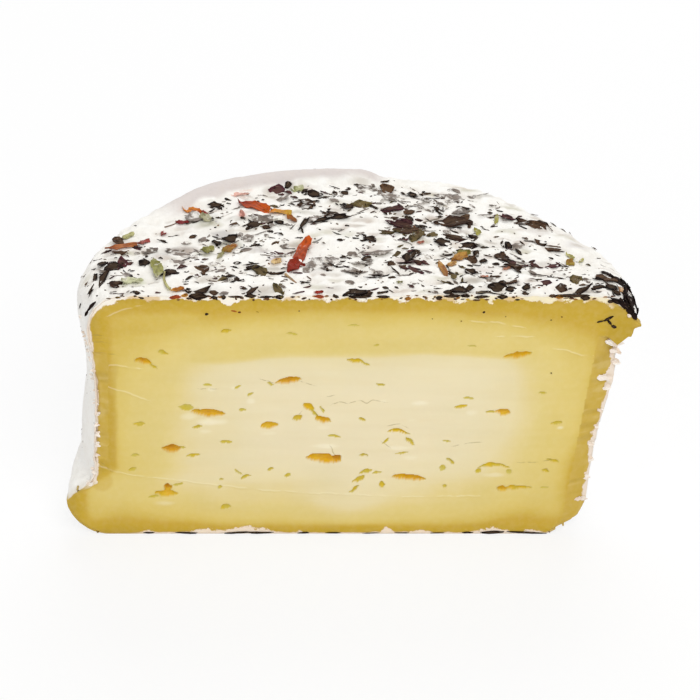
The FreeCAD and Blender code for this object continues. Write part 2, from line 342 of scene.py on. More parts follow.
knife_marks = [
   
    [(-58.6, 19.4), (-54.0, 17.6), (-47.2, 16.2), (-41.0, 15.4),
     (-26.0, 13.2), (-8.0, 11.6), (12.0, 10.8), (29.6, 10.8)],
    [(-58.6, 45.8), (-53.0, 46.2), (-47.6, 45.4)],
    [(-59.0, 41.8), (-55.2, 40.6), (-50.4, 39.0), (-46.0, 37.0)],
    [(-53.4, 59.0), (-50.4, 60.3), (-47.0, 61.4)], [(27.0, 57.6), (33.0, 57.2), (38.0, 56.0)],
    [(44.2, 50.8), (48.0, 50.0), (51.6, 48.6), (54.0, 48.8)], [(33.0, 53.6), (40.0, 53.8)],
]
# Soft pale and dark places on the cut: across, up, width, height, strength.
# most pale places lie just under a hole: painted light for the hole's lit lower slope
pale_and_lit_places = [
    (-31.6, 31.2, 9.0, 2.4, 0.8), (-36.6, 32.6, 4.6, 2.2, 0.5), (-6.0, 24.6, 8.4, 1.5, 0.8),
    (11.4, 24.0, 7.6, 1.6, 0.9), (13.8, 21.4, 4.0, 1.2, 0.5), (-22.6, 36.6, 2.6, 2.0, 0.7),
    (15.6, 36.2, 5.0, 1.3, 0.9), (-31.4, 39.8, 2.4, 1.2, 0.7), (-26.2, 40.2, 2.2, 1.2, 0.6),
    (-6.2, 29.6, 4.2, 1.2, 0.4), (-33.0, 28.6, 4.0, 1.2, 0.5), (27.4, 33.6, 3.4, 1.6, 0.5),
    (-43.0, 8.8, 6.0, 1.6, 0.4), (7.4, 36.8, 2.0, 1.0, 0.5), (32.8, 16.6, 6.0, 1.6, 0.5),
    (-18.6, 28.0, 4.0, 1.2, 0.4), (47.6, 29.6, 2.0, 0.9, 0.7), (14.0, 31.6, 3.0, 1.0, 0.4),
]
ochre_places = [
    (-57.4, 15.0, 5.2, 5.4, 0.45), (-57.6, 51.0, 5.0, 3.0, 0.4), (50.0, 61.0, 16.0, 3.0, 0.35),
    (38.0, 3.4, 12.0, 2.6, 0.45), (-53.0, 60.0, 9.0, 5.0, 0.30), (55.6, 47.8, 3.4, 1.2, 0.6),
]
# White bumps of the crust along the underside's edge: middle, half width, height.
edge_bumps = [
    (-47.4, 1.8, 1.0), (-33.6, 5.0, 1.1), (-24.0, 5.6, 1.5), (-11.6, 1.2, 0.7), (8.4, 1.6, 1.2),
    (16.2, 3.6, 0.8), (32.2, 4.0, 1.5), (42.6, 4.4, 1.0), (-54.0, 1.5, 0.6),
]

paste = new_object("paste", solid.data.copy())
form = opened(paste.data)
plug = bmesh.ops.create_cube(form, size=1.0)["verts"]
bmesh.ops.scale(form, verts=plug, vec=(99.0 * MM, 4.0 * MM, 49.0 * MM))
bmesh.ops.translate(form, verts=plug, vec=(-2.5 * MM, (CUT + 2.0) * MM, 29.5 * MM))
closed(form, paste.data)
remesh(paste, PASTE_VOXEL)

# finer faces round the holes, so that their lips stay sharp
form = opened(paste.data)
sawn = bmesh.ops.bisect_plane(form, geom=form.verts[:] + form.edges[:] + form.faces[:], dist=1e-6,
                              plane_co=(0, (CUT + PASTE_DEPTH) * MM, 0), plane_no=(0, 1, 0), clear_outer=True)
back_rim = [item for item in sawn["geom_cut"] if isinstance(item, bmesh.types.BMEdge)]
back_wall = bmesh.ops.holes_fill(form, edges=back_rim, sides=0)["faces"]
bmesh.ops.triangulate(form, faces=back_wall)
fine_boxes = []
for eye in eyes:
    tipped = eye[2] * abs(math.sin(math.radians(eye[5])))
    fine_boxes.append((eye[0], eye[1], 0.5 * eye[2] + 0.6, 0.5 * max(eye[3], tipped) + 0.7))
near_holes = set()
for face in form.faces:
    x, y, z = face.calc_center_median() / MM
    if y > CUT + 0.3:
        continue
    for across, up, half_width, half_height in fine_boxes:
        if abs(x - across) < half_width and abs(z - up) < half_height:
            near_holes.update(face.edges)
            break
bmesh.ops.subdivide_edges(form, edges=list(near_holes), cuts=1, use_grid_fill=True)
closed(form, paste.data)

kind, from_skin, towards = read_solid(paste.data)
spots = places(paste.data)
flat_cut = (kind == FRONT) | ((kind == HOLE) & (np.abs(spots[:, 1] - CUT) < 1.0))
swell, _, _ = mould_relief(spots, towards)
from_cut = np.zeros(len(spots))
for i in np.nonzero(kind == SKIN)[0]:
    from_cut[i] = any_cut.find_nearest(Vector(spots[i] * MM))[3] / MM
swell -= 0.20 + 1.1 * blend(from_cut, 0.6, 1.8)
spots += towards * (swell * (1.0 - np.clip(from_skin / 1.2, 0.0, 1.0)))[:, None]
dragged = spots * np.array([0.12, 1.0, 1.0])
wobble = 0.12 * lumps(spots, 14.0, 1) + 0.05 * lumps(spots, 4.0, 2) + 0.025 * lumps(dragged, 1.3, 3)
inland = blend(from_skin, 0.3, 2.5)
rise = np.where(kind != SKIN, -wobble * inland - 0.10 * (1.0 - inland), 0.0)
sunk = np.zeros(len(spots))


def in_box(points, across, up, half_width, half_height):
    return flat_cut & (np.abs(points[:, 0] - across) < half_width) & (np.abs(points[:, 2] - up) < half_height)


def eye_depth(eye, x, z):
    """Depth of one hole at each point: steep under its upper lip, easing out below, and
    pointed at both ends."""
    across, up, width, height, depth, slope, lean, opened = eye
    turn = math.radians(slope)
    along = ((x - across) * math.cos(turn) + (z - up) * math.sin(turn)) * 2.0 / width
    over = (-(x - across) * math.sin(turn) + (z - up) * math.cos(turn)) * 2.0 / height
    inside = np.clip(1.0 - np.abs(along) ** 1.8, 0.0, 1.0)
    crest = inside ** 0.75 * (1.0 + 0.45 * lean * along)
    foot = -0.8 * inside ** 0.7 * (1.0 - 0.25 * lean * along)
    share = (over - foot) / np.maximum(crest - foot, 0.05)
    if opened < 1.0:
        ease = blend(share, 0.9 - opened, 1.05 - opened)
    else:
        ease = blend(share, -0.3, 0.3)
    lip = 1.0 - blend(share, 0.9, 1.04)
    return depth * np.where(share > 0.0, 1.0, 0.0) * inside ** 0.45 * ease * lip


torn = np.stack([lumps(spots, 1.2, 5) * 0.28 + lumps(spots, 0.6, 6) * 0.10, np.zeros(len(spots)),
                 lumps(spots, 1.2, 7) * 0.30 + lumps(spots, 0.6, 8) * 0.12], axis=1)
ragged = spots + torn
fullness = np.zeros(len(spots))
for eye in eyes:
    reach = 0.5 * max(eye[2], eye[3]) + 1.0
    near = in_box(spots, eye[0], eye[1], reach, reach)
    depth = eye_depth(eye, ragged[near, 0], ragged[near, 2])
    fullness[near] = np.where(depth > sunk[near], eye[4], fullness[near])
    sunk[near] = np.maximum(sunk[near], depth)
tucked = 0.15 * sunk
rise += 0.42 * sunk


def line_gap(points, lines, reach):
    """Signed distance in millimetres of each point from the nearest of the lines."""
    wander = np.stack([lumps(points, 2.5, 9), lumps(points, 2.5, 10)], axis=1)
    tremble = np.stack([lumps(points, 0.8, 41), lumps(points, 0.8, 42)], axis=1)
    flat = points[:, [0, 2]] + 0.3 * wander + 0.12 * tremble
    best = np.full(len(points), reach)
    for line in lines:
        for start, end in zip(line, line[1:]):
            a, b = np.array(start), np.array(end)
            near = np.nonzero((flat[:, 0] > min(a[0], b[0]) - reach) & (flat[:, 0] < max(a[0], b[0]) + reach)
                              & (np.abs(flat[:, 1] - 0.5 * (a[1] + b[1])) < 0.5 * abs(b[1] - a[1]) + reach)
                              & flat_cut)[0]
            way = b - a
            off = flat[near] - a
            share = np.clip((off @ way) / (way @ way), 0.0, 1.0)
            gap = np.linalg.norm(off - share[:, None] * way, axis=1)
            side = np.sign(way[0] * off[:, 1] - way[1] * off[:, 0])
            closer = gap < np.abs(best[near])
            best[near[closer]] = (side * gap)[closer]
    return best


mark_gap = line_gap(spots, knife_marks, 2.0)
crack_gap = line_gap(spots, cracks, 2.0)
rise -= 0.05 * np.exp(-(mark_gap / 0.45) ** 2)
before = spots.copy()
spots[:, 1] += rise
spots[:, 2] += tucked
spots[:, 0] -= pulled_in(spots)
# the flap ends in a low tooth beside the facet
low = blend(spots[:, 2], 52.9, 53.3) * (1.0 - blend(spots[:, 2], 53.8, 57.0))
low = low * (1.0 - blend(spots[:, 1], CUT + 1.5, CUT + 4.0))
spots[:, 0] += 1.3 * bump(spots[:, 2], 56.9, 1.0) * blend(spots[:, 0], 60.0, 62.4) * (spots[:, 1] < CUT + 2.0)
spots[:, 2] -= 2.2 * low * np.clip(1.0 - np.abs(spots[:, 0] - 59.3) / 2.3, 0.0, 1.0) * (kind != SKIN)
spots[:, 2] = np.maximum(spots[:, 2], 0.14)
put(paste.data, spots)
smooth(paste)

# Colour: deep golden beside the rind, paler inwards, cream in the unripened core.
ripe_stops = [
    (0.0, "#BC9C30"), (0.9, "#C09F30"), (2.2, "#C5A434"), (3.6, "#C9A73E"), (5.0, "#D3B757"),
    (6.5, "#D9C067"), (9.0, "#DEC878"), (13.0, "#E0CC84"), (14.6, "#E3D090"), (17.0, "#E7D8A9"),
    (22.0, "#E9DCB5"), (28.0, "#EADDB9"), (90.0, "#EADDBA"),
]
x, z = before[:, 0], before[:, 2]
middle = 1.0 - blend(np.abs(x + 6.0), 22.0, 50.0)
waver = 1.6 * lumps(before, 13.0, 43)
from_top = np.maximum(CRUST_TOP - z, 0.0)
thin_left = np.minimum(0.60 * blend(-x, 20.0, 50.0), 0.5)
from_top = from_top * (1.0 + 0.15 * middle - thin_left - 0.60 * blend(x, 34.0, 54.0))
from_top = np.maximum(from_top, np.minimum(CRUST_TOP - z, 5.0) * (x < 0.0))
level = CRUST_TOP - z - 14.0 - 0.6 * waver - 3.0 * blend(-x, 12.0, 36.0) - 1.2 * blend(x, 15.0, 36.0)
from_top = np.minimum(from_top, 10.8 + 3.6 * np.maximum(level, 0.0))
from_foot = middle * np.interp(z, [0.0, 1.6, 2.9, 4.5, 6.9, 9.3, 11.6, 14.0, 17.6, 22.0, 70.0],
                               [0.0, 2.6, 4.8, 8.0, 11.6, 14.0, 14.8, 15.8, 20.0, 26.0, 150.0])
from_foot += (1.0 - middle) * z * 0.92 + 5.5 * bump(x, 0.0, 10.0) * blend(z, 1.6, 4.6)
left_side = -57.0 - 7.0 * (1.0 - blend(z, 12.2, 19.2))
from_left = np.interp(x - left_side + 0.4 * waver, [-5, 0, 2.6, 4.2, 8, 12, 17, 22, 30, 130],
                      [0.0, 0.0, 3.2, 6.6, 9.0, 10.9, 13.8, 16.6, 21.0, 90.0])
from_left_edge = x + 57.3 - 0.05 * (z - 20.0)
right_side = 52.5 + 6.5 * blend(z, 8.0, 50.0)
from_right = np.interp(right_side - x + waver, [-5, 0, 3, 6, 11, 15, 20, 26, 130],
                       [0.0, 0.0, 4.6, 8.2, 9.8, 13.0, 16.2, 20.5, 90.0])
closeness = sum(np.exp(-part / 1.6) for part in (from_top, from_foot, from_left, from_right))
ripe = -1.6 * np.log(closeness)
ripe = np.minimum(ripe, 3.4 * from_skin + 0.3)
ripe += np.clip(ripe / 6.0, 0.0, 1.0) * (1.3 * lumps(before, 11.0, 11) + 0.5 * lumps(before, 4.0, 12))
tint = ramp(ripe, ripe_stops)
tint = tint * (0.978 + 0.012 * lumps(dragged, 1.6, 14) + 0.015 * lumps(before, 7.0, 15))[:, None]
stripe = blend(from_left_edge + 0.5 * lumps(before, 3.0, 48), 3.9, 3.1)
stripe = stripe * blend(z, 17.0, 21.0) * blend(-z, -50.0, -44.0)
tint = mixed(tint, "#BC9C40", 0.42 * stripe)
for across, up, width, height, strength in ochre_places:
    away = np.hypot((x - across) / (0.5 * width), (z - up) / (0.5 * height)) + 0.15 * lumps(before, 2.0, 18)
    tint = mixed(tint, "#C8A640", strength * (1.0 - blend(away, 0.75, 1.15)))
# painted light: the cut turns paler over these places, most of them the lit slope under a hole
for across, up, width, height, strength in pale_and_lit_places:
    away = np.hypot((x - across) / (0.5 * width), (z - up) / (0.5 * height)) + 0.2 * lumps(before, 1.6, 19)
    tint = mixed(tint, "#F4ECD2", 0.75 * strength * (1.0 - blend(away, 0.3, 1.1)))
facet_stops = [(0.0, "#D2BC82"), (0.7, "#CCB05A"), (2.0, "#C5A542"), (8.0, "#C9AA4A")]
facet_tint = ramp(from_skin + 1.6 * np.abs(lumps(dragged, 1.1, 16)), facet_stops)
level_streaks = spots * np.array([0.35, 0.2, 1.0])
facet_tint = mixed(facet_tint, "#AC8E36", 0.35 * blend(lumps(level_streaks, 1.7, 20), 0.2, 0.7))
facet_tint = mixed(facet_tint, "#DCC682", 0.30 * blend(lumps(level_streaks, 1.2, 49), 0.3, 0.7))
tint = np.where((kind == FACET)[:, None], facet_tint, tint)
eye_stops = [
    (0.0, "#C8B860"), (0.5, "#C6B44A"), (0.9, "#C9B236"), (1.4, "#D4B420"), (2.0, "#DCB010"),
    (2.6, "#D8A208"), (3.4, "#C07E04"),
]
inner = ramp(0.7 * fullness + 0.3 * sunk + 0.5 * lumps(before, 1.1, 17), eye_stops)
tint = mixed(tint, inner, blend(sunk, 0.05, 0.30))
store(paste.data, "tint", tint)
store(paste.data, "from_rind", from_skin)
for name, gap in (("mark", mark_gap), ("crack", crack_gap)):
    store(paste.data, name + "_gap", gap)
    store(paste.data, name + "_near", 1.0 - blend(np.abs(gap), 0.5, 1.1))


def crust_shade(points, upward):
    """Colour of the crust where the knife went through it: creamy above, pinkish down the
    sides, and stained by the paste in the dragged corners."""
    x, z = points[:, 0], points[:, 2]
    shade = np.empty((len(points), 3))
    shade[:] = linear("#EADBCA")
    shade = mixed(shade, "#F6EEDF", blend(upward, 0.2, 0.8))
    shade = mixed(shade, "#EFE2BC", 0.8 * blend(upward, 0.2, 0.8) * blend(x, 12.0, 34.0))
    patchy = 0.65 * blend(upward, 0.3, 0.8) * blend(lumps(points, 2.4, 50), 0.25, 0.6)
    shade = mixed(shade, "#D2A960", patchy)
    shade = mixed(shade, "#EDDCC9", blend(-upward, 0.2, 0.8))
    corner = blend(-x, 47.0, 53.0) * (1.0 - blend(z, 12.0, 15.0))
    corner = np.maximum(corner, blend(x, 44.0, 48.0) * (1.0 - blend(z, 7.5, 10.0)))
    corner = np.maximum(corner, blend(x, 56.5, 59.0) * blend(z, 52.0, 54.0))
    return mixed(shade, "#BFA040", corner), corner


upward = towards[:, 2]
shade, corner = crust_shade(before, upward)
store(paste.data, "crust_tint", shade)
width = 0.80 + 0.45 * blend(upward, 0.3, 0.9) - 0.45 * blend(-upward, 0.3, 0.9)
width += 0.30 * blend(before[:, 0], 48.0, 52.0) * (1.0 - blend(upward, 0.2, 0.5))
width -= 0.40 * blend(-before[:, 0], 48.0, 54.0) * (1.0 - blend(upward, 0.2, 0.6))
width += 0.55 * blend(before[:, 0], 10.0, 32.0) * blend(upward, 0.3, 0.9)
width *= 1.0 + 0.65 * lumps(before, 2.1, 45) + 0.25 * lumps(before, 5.0, 46)
for middle, half, high in edge_bumps:
    width += 1.15 * high * blend(-upward, 0.4, 0.9) * bump(before[:, 0], middle, 0.75 * half)
store(paste.data, "crust_width", width * (1.0 - 0.8 * corner))

# --- Rind: a thin shell of white mould over the paste, open at the cut ---------------------------
rind = new_object("rind", solid.data.copy())
remesh(rind, RIND_VOXEL)
kind, from_skin, towards = read_solid(rind.data)
form = opened(rind.data)
form.verts.ensure_lookup_table()
gone = [form.verts[int(i)] for i in np.nonzero(kind != SKIN)[0]]
bmesh.ops.delete(form, geom=gone, context="VERTS")
start = max(form.verts, key=lambda v: v.co.y)
kept = {start}
edge_of_kept = [start]
while edge_of_kept:
    fresh = {e.other_vert(v) for v in edge_of_kept for e in v.link_edges} - kept
    kept |= fresh
    edge_of_kept = list(fresh)
bmesh.ops.delete(form, geom=[v for v in form.verts if v not in kept], context="VERTS")
for _ in range(2):
    edge = [v for v in form.verts if v.is_boundary]
    bmesh.ops.smooth_vert(form, verts=edge, factor=0.5, use_axis_x=True, use_axis_y=True, use_axis_z=True)
top_edges = {e for f in form.faces if f.normal.z > 0.25 and f.calc_center_median().z > 0.045 for e in f.edges}
bmesh.ops.subdivide_edges(form, edges=list(top_edges), cuts=1, use_grid_fill=True)
for v in form.verts:
    if v.is_boundary and v.co.y < (CUT + 1.6) * MM:
        v.co.y = (CUT - 0.03) * MM
at_edge = np.array([v.is_boundary for v in form.verts])
closed(form, rind.data)

spots = places(rind.data)
normals = directions(rind.data)
relief, on_curb, sideways = mould_relief(spots, normals)
spots = spots + normals * relief[:, None]
spots[:, 0] -= pulled_in(spots)
on_facet = at_edge & (spots[:, 1] > CUT + 0.3)
spots[:, 1] += np.where(on_facet, 0.55 * lumps(spots, 1.7, 28) + 0.3 * lumps(spots, 0.8, 29), 0.0)
spots[:, 2] = np.maximum(spots[:, 2], 0.12)
spots[:, 1] = np.maximum(spots[:, 1], CUT - 0.08)
put(rind.data, spots)
surface = BVHTree.FromPolygons([v.co.copy() for v in rind.data.vertices],
                               [tuple(f.vertices) for f in rind.data.polygons])
outer_count = len(spots)
outer_relief, outer_curb, outer_side, outer_up = relief, on_curb, sideways, normals[:, 2]


def turn_in(form, way):
    """Extrudes the open edge and moves the new points by way, a function of a point's direction."""
    rim = [e for e in form.edges if e.is_boundary]
    aims = {tuple(v.co): way(v.normal) for e in rim for v in e.verts}
    grown = bmesh.ops.extrude_edge_only(form, edges=rim)["geom"]
    for v in grown:
        if isinstance(v, bmesh.types.BMVert):
            v.co += aims[tuple(v.co)]


# the shell turns in at the cut, then back under the paste, and is closed there
form = opened(rind.data)
form.normal_update()
turn_in(form, lambda normal: -Vector((normal.x, 0.0, normal.z)).normalized() * RIND_THICK * MM)
turn_in(form, lambda normal: Vector((0.0, 1.6 * MM, 0.0)))
rim = [e for e in form.edges if e.is_boundary]
lid = bmesh.ops.holes_fill(form, edges=rim, sides=0)["faces"]
bmesh.ops.triangulate(form, faces=lid)
bmesh.ops.recalc_face_normals(form, faces=form.faces)
closed(form, rind.data)

# --- Herbs -------------------------------------------------------------------------------------
def plate(random_source, sides, crumple, curl):
    """A dry leaf flake one unit long and wide: an angular, curled, thin closed plate."""
    form = bmesh.new()
    bmesh.ops.create_circle(form, cap_ends=True, cap_tris=True, segments=sides, radius=0.5)
    bend = random_source.uniform(-curl, curl)
    fold = random_source.uniform(-curl, curl)
    point = random_source.uniform(0.5, 1.1)
    for v in form.verts:
        if v.is_boundary:
            v.co *= random_source.choice((0.76, 0.86, 0.94, 1.0, 1.06)) * random_source.uniform(0.94, 1.05)
            v.co.y *= 1.0 - (1.0 - 0.5 * point) * min(abs(v.co.x) * 2.0, 1.0) ** 3
        v.co.z = bend * v.co.x ** 2 + fold * abs(v.co.y) + random_source.uniform(-crumple, crumple)
    bmesh.ops.solidify(form, geom=form.faces[:], thickness=-0.07)
    bmesh.ops.recalc_face_normals(form, faces=form.faces)
    return closed(form, bpy.data.meshes.new("plate"))


def ribbon(random_source):
    """A dry petal one unit long and wide: a narrow crumpled strip with ragged sides."""
    form = bmesh.new()
    bmesh.ops.create_grid(form, x_segments=12, y_segments=3, size=0.5)
    sway = random_source.uniform(-0.7, 0.7)
    twist = random_source.uniform(-0.6, 0.6)
    lean = random_source.uniform(-0.35, 0.35)
    for v in form.verts:
        x, y = v.co.x, v.co.y
        slim = max(1.0 - (abs(x) * 1.95) ** 3.4, 0.22) * (1.0 + lean * x)
        v.co.y = y * slim * random_source.uniform(0.84, 1.08) + sway * x * x + 0.06 * math.sin(9.0 * x)
        wave = 0.07 * math.cos(11.0 * x + 3.0 * y) + twist * x * y
        v.co.z = wave + 0.4 * y * y + random_source.uniform(-0.05, 0.05)
    bmesh.ops.solidify(form, geom=form.faces[:], thickness=-0.06)
    bmesh.ops.recalc_face_normals(form, faces=form.faces)
    return closed(form, bpy.data.meshes.new("ribbon"))


def twig(random_source):
    """A thin stem one unit long: a bent tapering rod."""
    form = bmesh.new()
    bmesh.ops.create_cone(form, cap_ends=True, segments=6, radius1=0.5, radius2=0.32, depth=1.0)
    bmesh.ops.rotate(form, verts=form.verts, cent=(0, 0, 0), matrix=Matrix.Rotation(math.pi / 2.0, 3, "Y"))
    long_edges = [e for e in form.edges if abs(e.verts[0].co.x - e.verts[1].co.x) > 0.5]
    bmesh.ops.subdivide_edges(form, edges=long_edges, cuts=4)
    sway = random_source.uniform(-0.9, 0.9)
    for v in form.verts:
        v.co.y += sway * v.co.x ** 2 * 4.0
        v.co.z += random_source.uniform(-0.05, 0.05)
    bmesh.ops.recalc_face_normals(form, faces=form.faces)
    return closed(form, bpy.data.meshes.new("twig"))


def crumb(random_source):
    """A crumb one unit across: a few-sided uneven lump."""
    form = bmesh.new()
    bmesh.ops.create_icosphere(form, subdivisions=1, radius=0.5)
    for v in form.verts:
        v.co *= random_source.uniform(0.7, 1.15)
    return closed(form, bpy.data.meshes.new("crumb"))


shaping = random.Random(11)
plates = [plate(shaping, shaping.choice((9, 11, 12, 13, 14)), 0.06, 0.35) for _ in range(30)]
flat_plates = [plate(shaping, shaping.choice((9, 11, 13)), 0.02, 0.05) for _ in range(12)]
ribbons = [ribbon(shaping) for _ in range(8)]
twigs = [twig(shaping) for _ in range(6)]
crumbs = [crumb(shaping) for _ in range(8)]


def on_top(x, y):
    """Point and direction of the rind under (x, y)."""
    return surface.ray_cast(spot_at(x, y, 90.0), Vector((0, 0, -1)))[:2]


def underneath(x, y):
    """Point and direction of the rind over (x, y)."""
    return surface.ray_cast(spot_at(x, y, -20.0), Vector((0, 0, 1)))[:2]


def on_side(angle, z):
    way = Vector((math.cos(math.radians(angle)), math.sin(math.radians(angle)), 0.0))
    hit, normal, _, _ = surface.ray_cast(way * 0.09 + Vector((0, 0, z * MM)), -way)
    return hit, normal


class Heap:
    """Flakes of one kind, gathered into one mesh, with the colour of each of their points and
    where it lies in the leaf's grain."""

    def __init__(self):
        self.form = bmesh.new()
        self.tones = []
        self.grain = []
        self.heart = []

    def lay(self, shape, place, normal, size, turn, lift, tones, tilt=(0.0, 0.0)):
        """Lays one flake on a surface, its length turned from the east on the top, or on
        the cut from the right. Its colour runs from one end's tone to the other's."""
        first = len(self.form.verts)
        self.form.from_mesh(shape)
        self.form.verts.ensure_lookup_table()
        new = self.form.verts[first:]
        start, end = np.array(linear(tones[0])), np.array(linear(tones[-1]))
        offset = first * 0.37 % 90.0
        for v in new:
            self.tones.append(start + (end - start) * min(max(v.co.x + 0.5, 0.0), 1.0))
            self.grain.append((v.co.x * size[0] * 0.35 + offset, v.co.y * size[1], 0.2 * offset))
            self.heart.append(max(0.0, 1.0 - 2.0 * math.hypot(v.co.x, v.co.y)))
        across = Vector((1, 0, 0)) - normal * normal.x
        across.normalize()
        stand = Matrix((across, normal.cross(across), normal)).transposed().to_4x4()
        spin = Matrix.Rotation(math.radians(turn), 4, "Z")
        lean = Matrix.Rotation(math.radians(tilt[0]), 4, "X") @ Matrix.Rotation(math.radians(tilt[1]), 4, "Y")
        scale = Matrix.Diagonal((size[0] * MM, size[1] * MM, size[2] * MM, 1.0))
        at = Matrix.Translation(place + normal * lift * MM)
        bmesh.ops.transform(self.form, matrix=at @ stand @ spin @ lean @ scale, verts=new)

    def gather(self, name):
        for v in self.form.verts:
            v.co.z = max(v.co.z, 0.0)
        piece = from_bmesh(name, self.form)
        store(piece.data, "tint", np.array(self.tones))
        store(piece.data, "grain_at", np.array(self.grain))
        store(piece.data, "heart", np.array(self.heart))
        return piece


